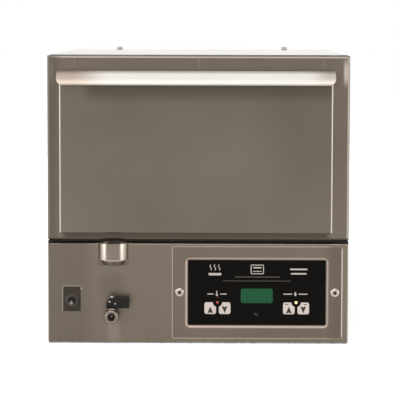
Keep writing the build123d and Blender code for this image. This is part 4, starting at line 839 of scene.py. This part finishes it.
# At rest the toggle hangs as far below level as it tips above it.
tilt = math.radians(joints["power_toggle_tip"]["range_deg"][1] / 2)
tip = (0, -math.cos(tilt), -math.sin(tilt))
bat = eased(
    [(0, -3.8), (3.1, -2.2), (3.7, 0), (2.4, 3.2), (2.2, 5), (3.2, 11.2), (2.4, 12.8), (0, 13)],
    [0, 1.2, 1.4, 1.0, 1.5, 1.2, 0.8, 0],
    closed=False,
)
toggle = turned("toggle_bat", bat, pivot, tip, toggle_metal, "power_toggle", 40)
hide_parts("toggle_lever")

# Electrics on the base pan: a transformer of stacked laminations, moulded relay and terminal blocks, and the
# moulded gland that takes the supply cord through the rear panel.
device_black = finish("device_plastic", linear(40, 40, 42), 0.5)
emboss(device_black, pattern(device_black, 900.0), 0.00004, 0.4)
for node in ("relay_block", "terminal_block", "cord_gland"):
    dress(node, device_black)
lamination = finish("transformer_core", linear(74, 70, 66), 0.5, 0.6)
emboss(lamination, pattern(lamination, 1.0, (10, 1600, 10), 1.0), 0.0002, 0.5)
dress("transformer", lamination)

# Telescopic slides: three rails rolled from zinc-plated steel at each side, with pressed cages and hardened
# balls between them. The outer rail is screwed to the chamber wall, and the inner one carries the pan frame.
zinc = finish("zinc_plate", linear(172, 174, 176), 0.34, 0.95)
passivate = pattern(zinc, 60.0, (1, 1, 1), 3.0)
tint(zinc, passivate, linear(160, 163, 166), linear(184, 185, 186))
vary_roughness(zinc, passivate, 0.26, 0.42)
for side in ("left", "right"):
    for rail in ("cabinet", "middle", "drawer"):
        dress(f"{side}_{rail}_rail", zinc)
dress("outer_cages", zinc)
dress("inner_cages", zinc)
ball_steel = finish("bearing_ball", linear(206, 206, 206), 0.08, 1.0)
vary_roughness(ball_steel, pattern(ball_steel, 500.0), 0.05, 0.14)
dress("outer_balls", ball_steel)
dress("inner_balls", ball_steel)

# Drawer front and pan frame: the frame and the inner pan are of the liner's sheet. The skin has painted shade
# and painted highlights along its border and at its top corners, and the raised panel has painted highlights
# along its two upright bends and a painted shadow under the pull, which is bent from brighter sheet and has
# painted shade on its lower roll and painted reflections at its ends.
dress("pan_frame", liner_steel)
dress("drawer_inner_pan", liner_steel)
border_steel = brushed("drawer_border_sheet", linear(107, 97, 88), linear(120, 110, 100), 0.36, 0)
for x in (-205, 1, 205.6):
    witness_line = patch(border_steel, (x, 0.4, 0.6), (468, 8, 2), 0.4)
    mark(border_steel, witness_line, linear(150, 140, 130))
# Painted highlights where the side light catches the two top corners.
for x, share in ((-243, 0.3), (243.5, 0.65)):
    corner_highlight = patch(border_steel, (x, 0.5, 5.5), (452, 6, 22), share)
    mark(border_steel, corner_highlight, linear(222, 208, 198))
skin_edge = from_outline(border_steel, (0, 276.5), (250, 202.5), 4)
edge_shade = band(border_steel, skin_edge, 0.2, 1.0, 0.8)
mark(border_steel, edge_shade, linear(92, 83, 75))
edge_glint = band(border_steel, skin_edge, -2.5, 0.7, 0.7)
mark(border_steel, edge_glint, linear(176, 164, 152))
# A painted shadow under the face panel's bottom edge, and painted shade along the bottom bend and towards the
# left of the border.
under_panel_shadow = patch(border_steel, (-4, 214, 12), (181, 3.4, 1.5), 0.85)
mark(border_steel, under_panel_shadow, linear(74, 66, 57))
bottom_bend_shade = strip(border_steel, "Z", 174, 3.2, 1.2, 0.7)
mark(border_steel, bottom_bend_shade, linear(84, 76, 67))
left_border_shade = strip(border_steel, "X", -250, 6, 24, 0.75)
mark(border_steel, left_border_shade, linear(96, 87, 76))
dress("drawer_skin", border_steel)
panel_steel = brushed("face_panel_sheet", linear(105, 97, 86), linear(117, 109, 98), 0.36, 0)
panel_low, panel_high = corners_mm("face_panel")
panel_middle = ((panel_low[0] + panel_high[0]) / 2, 320)
# A painted shadow on the panel under the pull.
pull_shadow = patch(panel_steel, (20, 190, 30), (428, 8, 22), 0.8)
mark(panel_steel, pull_shadow, linear(90, 82, 71))
# Painted highlights along the panel's two upright bends.
panel_edge = from_outline(panel_steel, panel_middle, ((panel_high[0] - panel_low[0]) / 2, 200), 3)
upright_bend_highlights = band(panel_steel, panel_edge, -1.2, 1.3, 0.5)
mark(panel_steel, upright_bend_highlights, linear(192, 181, 170))
dress("face_panel", panel_steel)
pull_steel = brushed("pull_sheet", linear(236, 231, 224), linear(250, 247, 242), 0.34, 0)
pull_steel.node_tree.nodes["Principled BSDF"].inputs["Metallic"].default_value = 0.7
# Painted shade on the lower roll of the pull, and painted reflections that make its two ends darker and
# pinker.
lower_roll_shade = strip(pull_steel, "Z", 426, 9, 14)
mark(pull_steel, lower_roll_shade, linear(202, 196, 188))
pull_left_reflection = strip(pull_steel, "X", -240, 30, 70)
mark(pull_steel, pull_left_reflection, linear(188, 172, 158))
pull_right_reflection = strip(pull_steel, "X", 230, 12, 40)
mark(pull_steel, pull_right_reflection, linear(196, 187, 176))
dress("handle_pull", pull_steel)

# Door gasket and buffers: a soft black bulb seal of rubber carried round the back of the drawer front. It
# swells past the front's edge at both sides, where it is squeezed least. Two buffers of the same rubber fill
# the gap under the front's lower corners.
seal_rubber = finish("seal_rubber", linear(34, 32, 31), 0.7, 0.0, Specular_IOR_Level=0.25)
emboss(seal_rubber, pattern(seal_rubber, 1100.0), 0.00008, 0.4)
seal_low, seal_high = corners_mm("door_gasket")
rounded = eased(front_rectangle(seal_low, seal_high), 9.0, 9)
runs = []
for start, end in zip(rounded, np.roll(rounded, -1, 0)):
    straight = np.linalg.norm(end - start) > 30
    runs.append(np.linspace(start, end, 40, endpoint=False) if straight else start[None])
around = np.concatenate(runs)
run = np.roll(around, -1, 0) - np.roll(around, 1, 0)
run /= np.linalg.norm(run, axis=1)[:, None]
inward = np.stack([-run[:, 1], run[:, 0]], 1)
most_swell, swell_z, swell_reach = 2.6, 345, 42
swell = most_swell * np.exp(-(((around[:, 1] - swell_z) / swell_reach) ** 4)) * (np.abs(inward[:, 0]) > 0.9)
seal_depth = seal_high[1] - seal_low[1]
turn = np.linspace(0, 2 * np.pi, 28, endpoint=False)
bulb_half = 9
bulb_in = bulb_half - bulb_half * np.sign(np.cos(turn)) * np.abs(np.cos(turn)) ** 0.7
bulb_back = 0.5 * seal_depth * np.sign(np.sin(turn)) * np.abs(np.sin(turn)) ** 0.6
across = bulb_in[None] - swell[:, None] * (0.5 + 0.5 * np.cos(turn))[None]
seal_points = np.stack(
    [
        around[:, None, 0] + inward[:, None, 0] * across,
        np.broadcast_to((seal_low[1] + seal_high[1]) / 2 + bulb_back, across.shape),
        around[:, None, 1] + inward[:, None, 1] * across,
    ],
    -1,
)
seal_faces = (np.array(grid_faces(len(around) + 1, len(turn))) % (len(around) * len(turn))).tolist()
seal = piece("door_seal", seal_points, seal_faces, seal_rubber, "drawer")
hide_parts("door_gasket")
buffer_rings = [(0.4, front_y + 0.6), (0, front_y + 1.2), (0, front_y + 9)]
for side, x in (("left", -245.5), ("right", 245.5)):
    block_points, block_faces = slab(bar(x, 170.6, 8.4, 5.2), buffer_rings)
    piece(f"front_buffer_{side}", block_points, block_faces, seal_rubber, "cabinet")

# Studio: a white floor that keeps the shadow, a white world, a large soft box in front and above, two
# upright strips at the sides that the bent edges and turned parts catch, a level strip over the top and a
# box behind.
floor_mesh = bpy.data.meshes.new("floor")
floor_mesh.from_pydata([(-30, -30, 0), (30, -30, 0), (30, 30, 0), (-30, 30, 0)], [], [(0, 1, 2, 3)])
floor = bpy.data.objects.new("floor", floor_mesh)
bpy.context.scene.collection.objects.link(floor)
paper = finish("floor_paper", linear(240, 240, 240), 0.95, 0.0, Specular_IOR_Level=0.1)
world = bpy.data.worlds.new("studio")
bpy.context.scene.world = world
world.use_nodes = True


def seen_directly(tree):
    """1 for camera, glossy and transmission rays, 0 for the diffuse rays that carry the light."""
    path = tree.nodes.new("ShaderNodeLightPath")
    last = path.outputs["Is Camera Ray"]
    for kind in ("Is Glossy Ray", "Is Transmission Ray"):
        last = math_node(tree, "MAXIMUM", last, path.outputs[kind])
    return last


tree = paper.node_tree
glow = tree.nodes.new("ShaderNodeEmission")
floor_lift = 0.5
both = tree.nodes.new("ShaderNodeAddShader")
tree.links.new(math_node(tree, "MULTIPLY", seen_directly(tree), floor_lift), glow.inputs["Strength"])
tree.links.new(tree.nodes["Principled BSDF"].outputs[0], both.inputs[0])
tree.links.new(glow.outputs[0], both.inputs[1])
tree.links.new(both.outputs[0], tree.nodes["Material Output"].inputs["Surface"])
floor_mesh.materials.append(paper)

tree = world.node_tree
background = tree.nodes["Background"]
background.inputs["Color"].default_value = (1, 1, 1, 1)
level = tree.nodes.new("ShaderNodeMapRange")
level.inputs["To Min"].default_value = 0.55
level.inputs["To Max"].default_value = 1.0
tree.links.new(seen_directly(tree), level.inputs["Value"])
tree.links.new(level.outputs["Result"], background.inputs["Strength"])


def soft_box(name, place, target, width, height, power):
    """A rectangular soft box at a place, turned to face its target."""
    light = bpy.data.lights.new(name, "AREA")
    light.shape = "RECTANGLE"
    light.size = width
    light.size_y = height
    light.energy = power
    made = bpy.data.objects.new(name, light)
    bpy.context.scene.collection.objects.link(made)
    made.visible_camera = False
    made.location = place
    made.rotation_euler = (Vector(target) - made.location).to_track_quat("-Z", "Y").to_euler()


soft_box("key_box", (-1.2, -3.0, 3.4), (0, -0.2, 0.25), 3.6, 3.6, 28)
soft_box("left_strip", (-2.9, -1.0, 0.9), (0, -0.3, 0.25), 0.5, 2.4, 24)
soft_box("right_strip", (2.9, -1.15, 0.9), (0, -0.3, 0.25), 0.5, 2.4, 24)
soft_box("top_strip", (0.0, -1.2, 3.0), (0, -0.3, 0.25), 3.0, 0.5, 13)
soft_box("back_box", (0.2, 4.2, 1.1), (0, 0, 0.45), 4.0, 1.2, 16)

# Camera: a long lens nearly straight on, a little above the top of the cabinet and turned by less than a
# degree, as the photograph was taken. Its place and turns are in metres and degrees.
camera_data = bpy.data.cameras.new("camera")
camera_data.lens = 179.59
camera_data.sensor_width = 36.0
camera_data.clip_end = 100
camera = bpy.data.objects.new("camera", camera_data)
bpy.context.scene.collection.objects.link(camera)
camera.location = (0.0344, -3.6266, 0.5365)
tilt_down, turn_left, roll_right = 5.131, 0.548, 0.133
camera.rotation_euler = (
    Matrix.Rotation(math.radians(turn_left), 3, "Z")
    @ Matrix.Rotation(math.radians(90 - tilt_down), 3, "X")
    @ Matrix.Rotation(math.radians(roll_right), 3, "Z")
).to_euler()
bpy.context.scene.camera = camera
bpy.context.scene.view_settings.view_transform = "Standard"
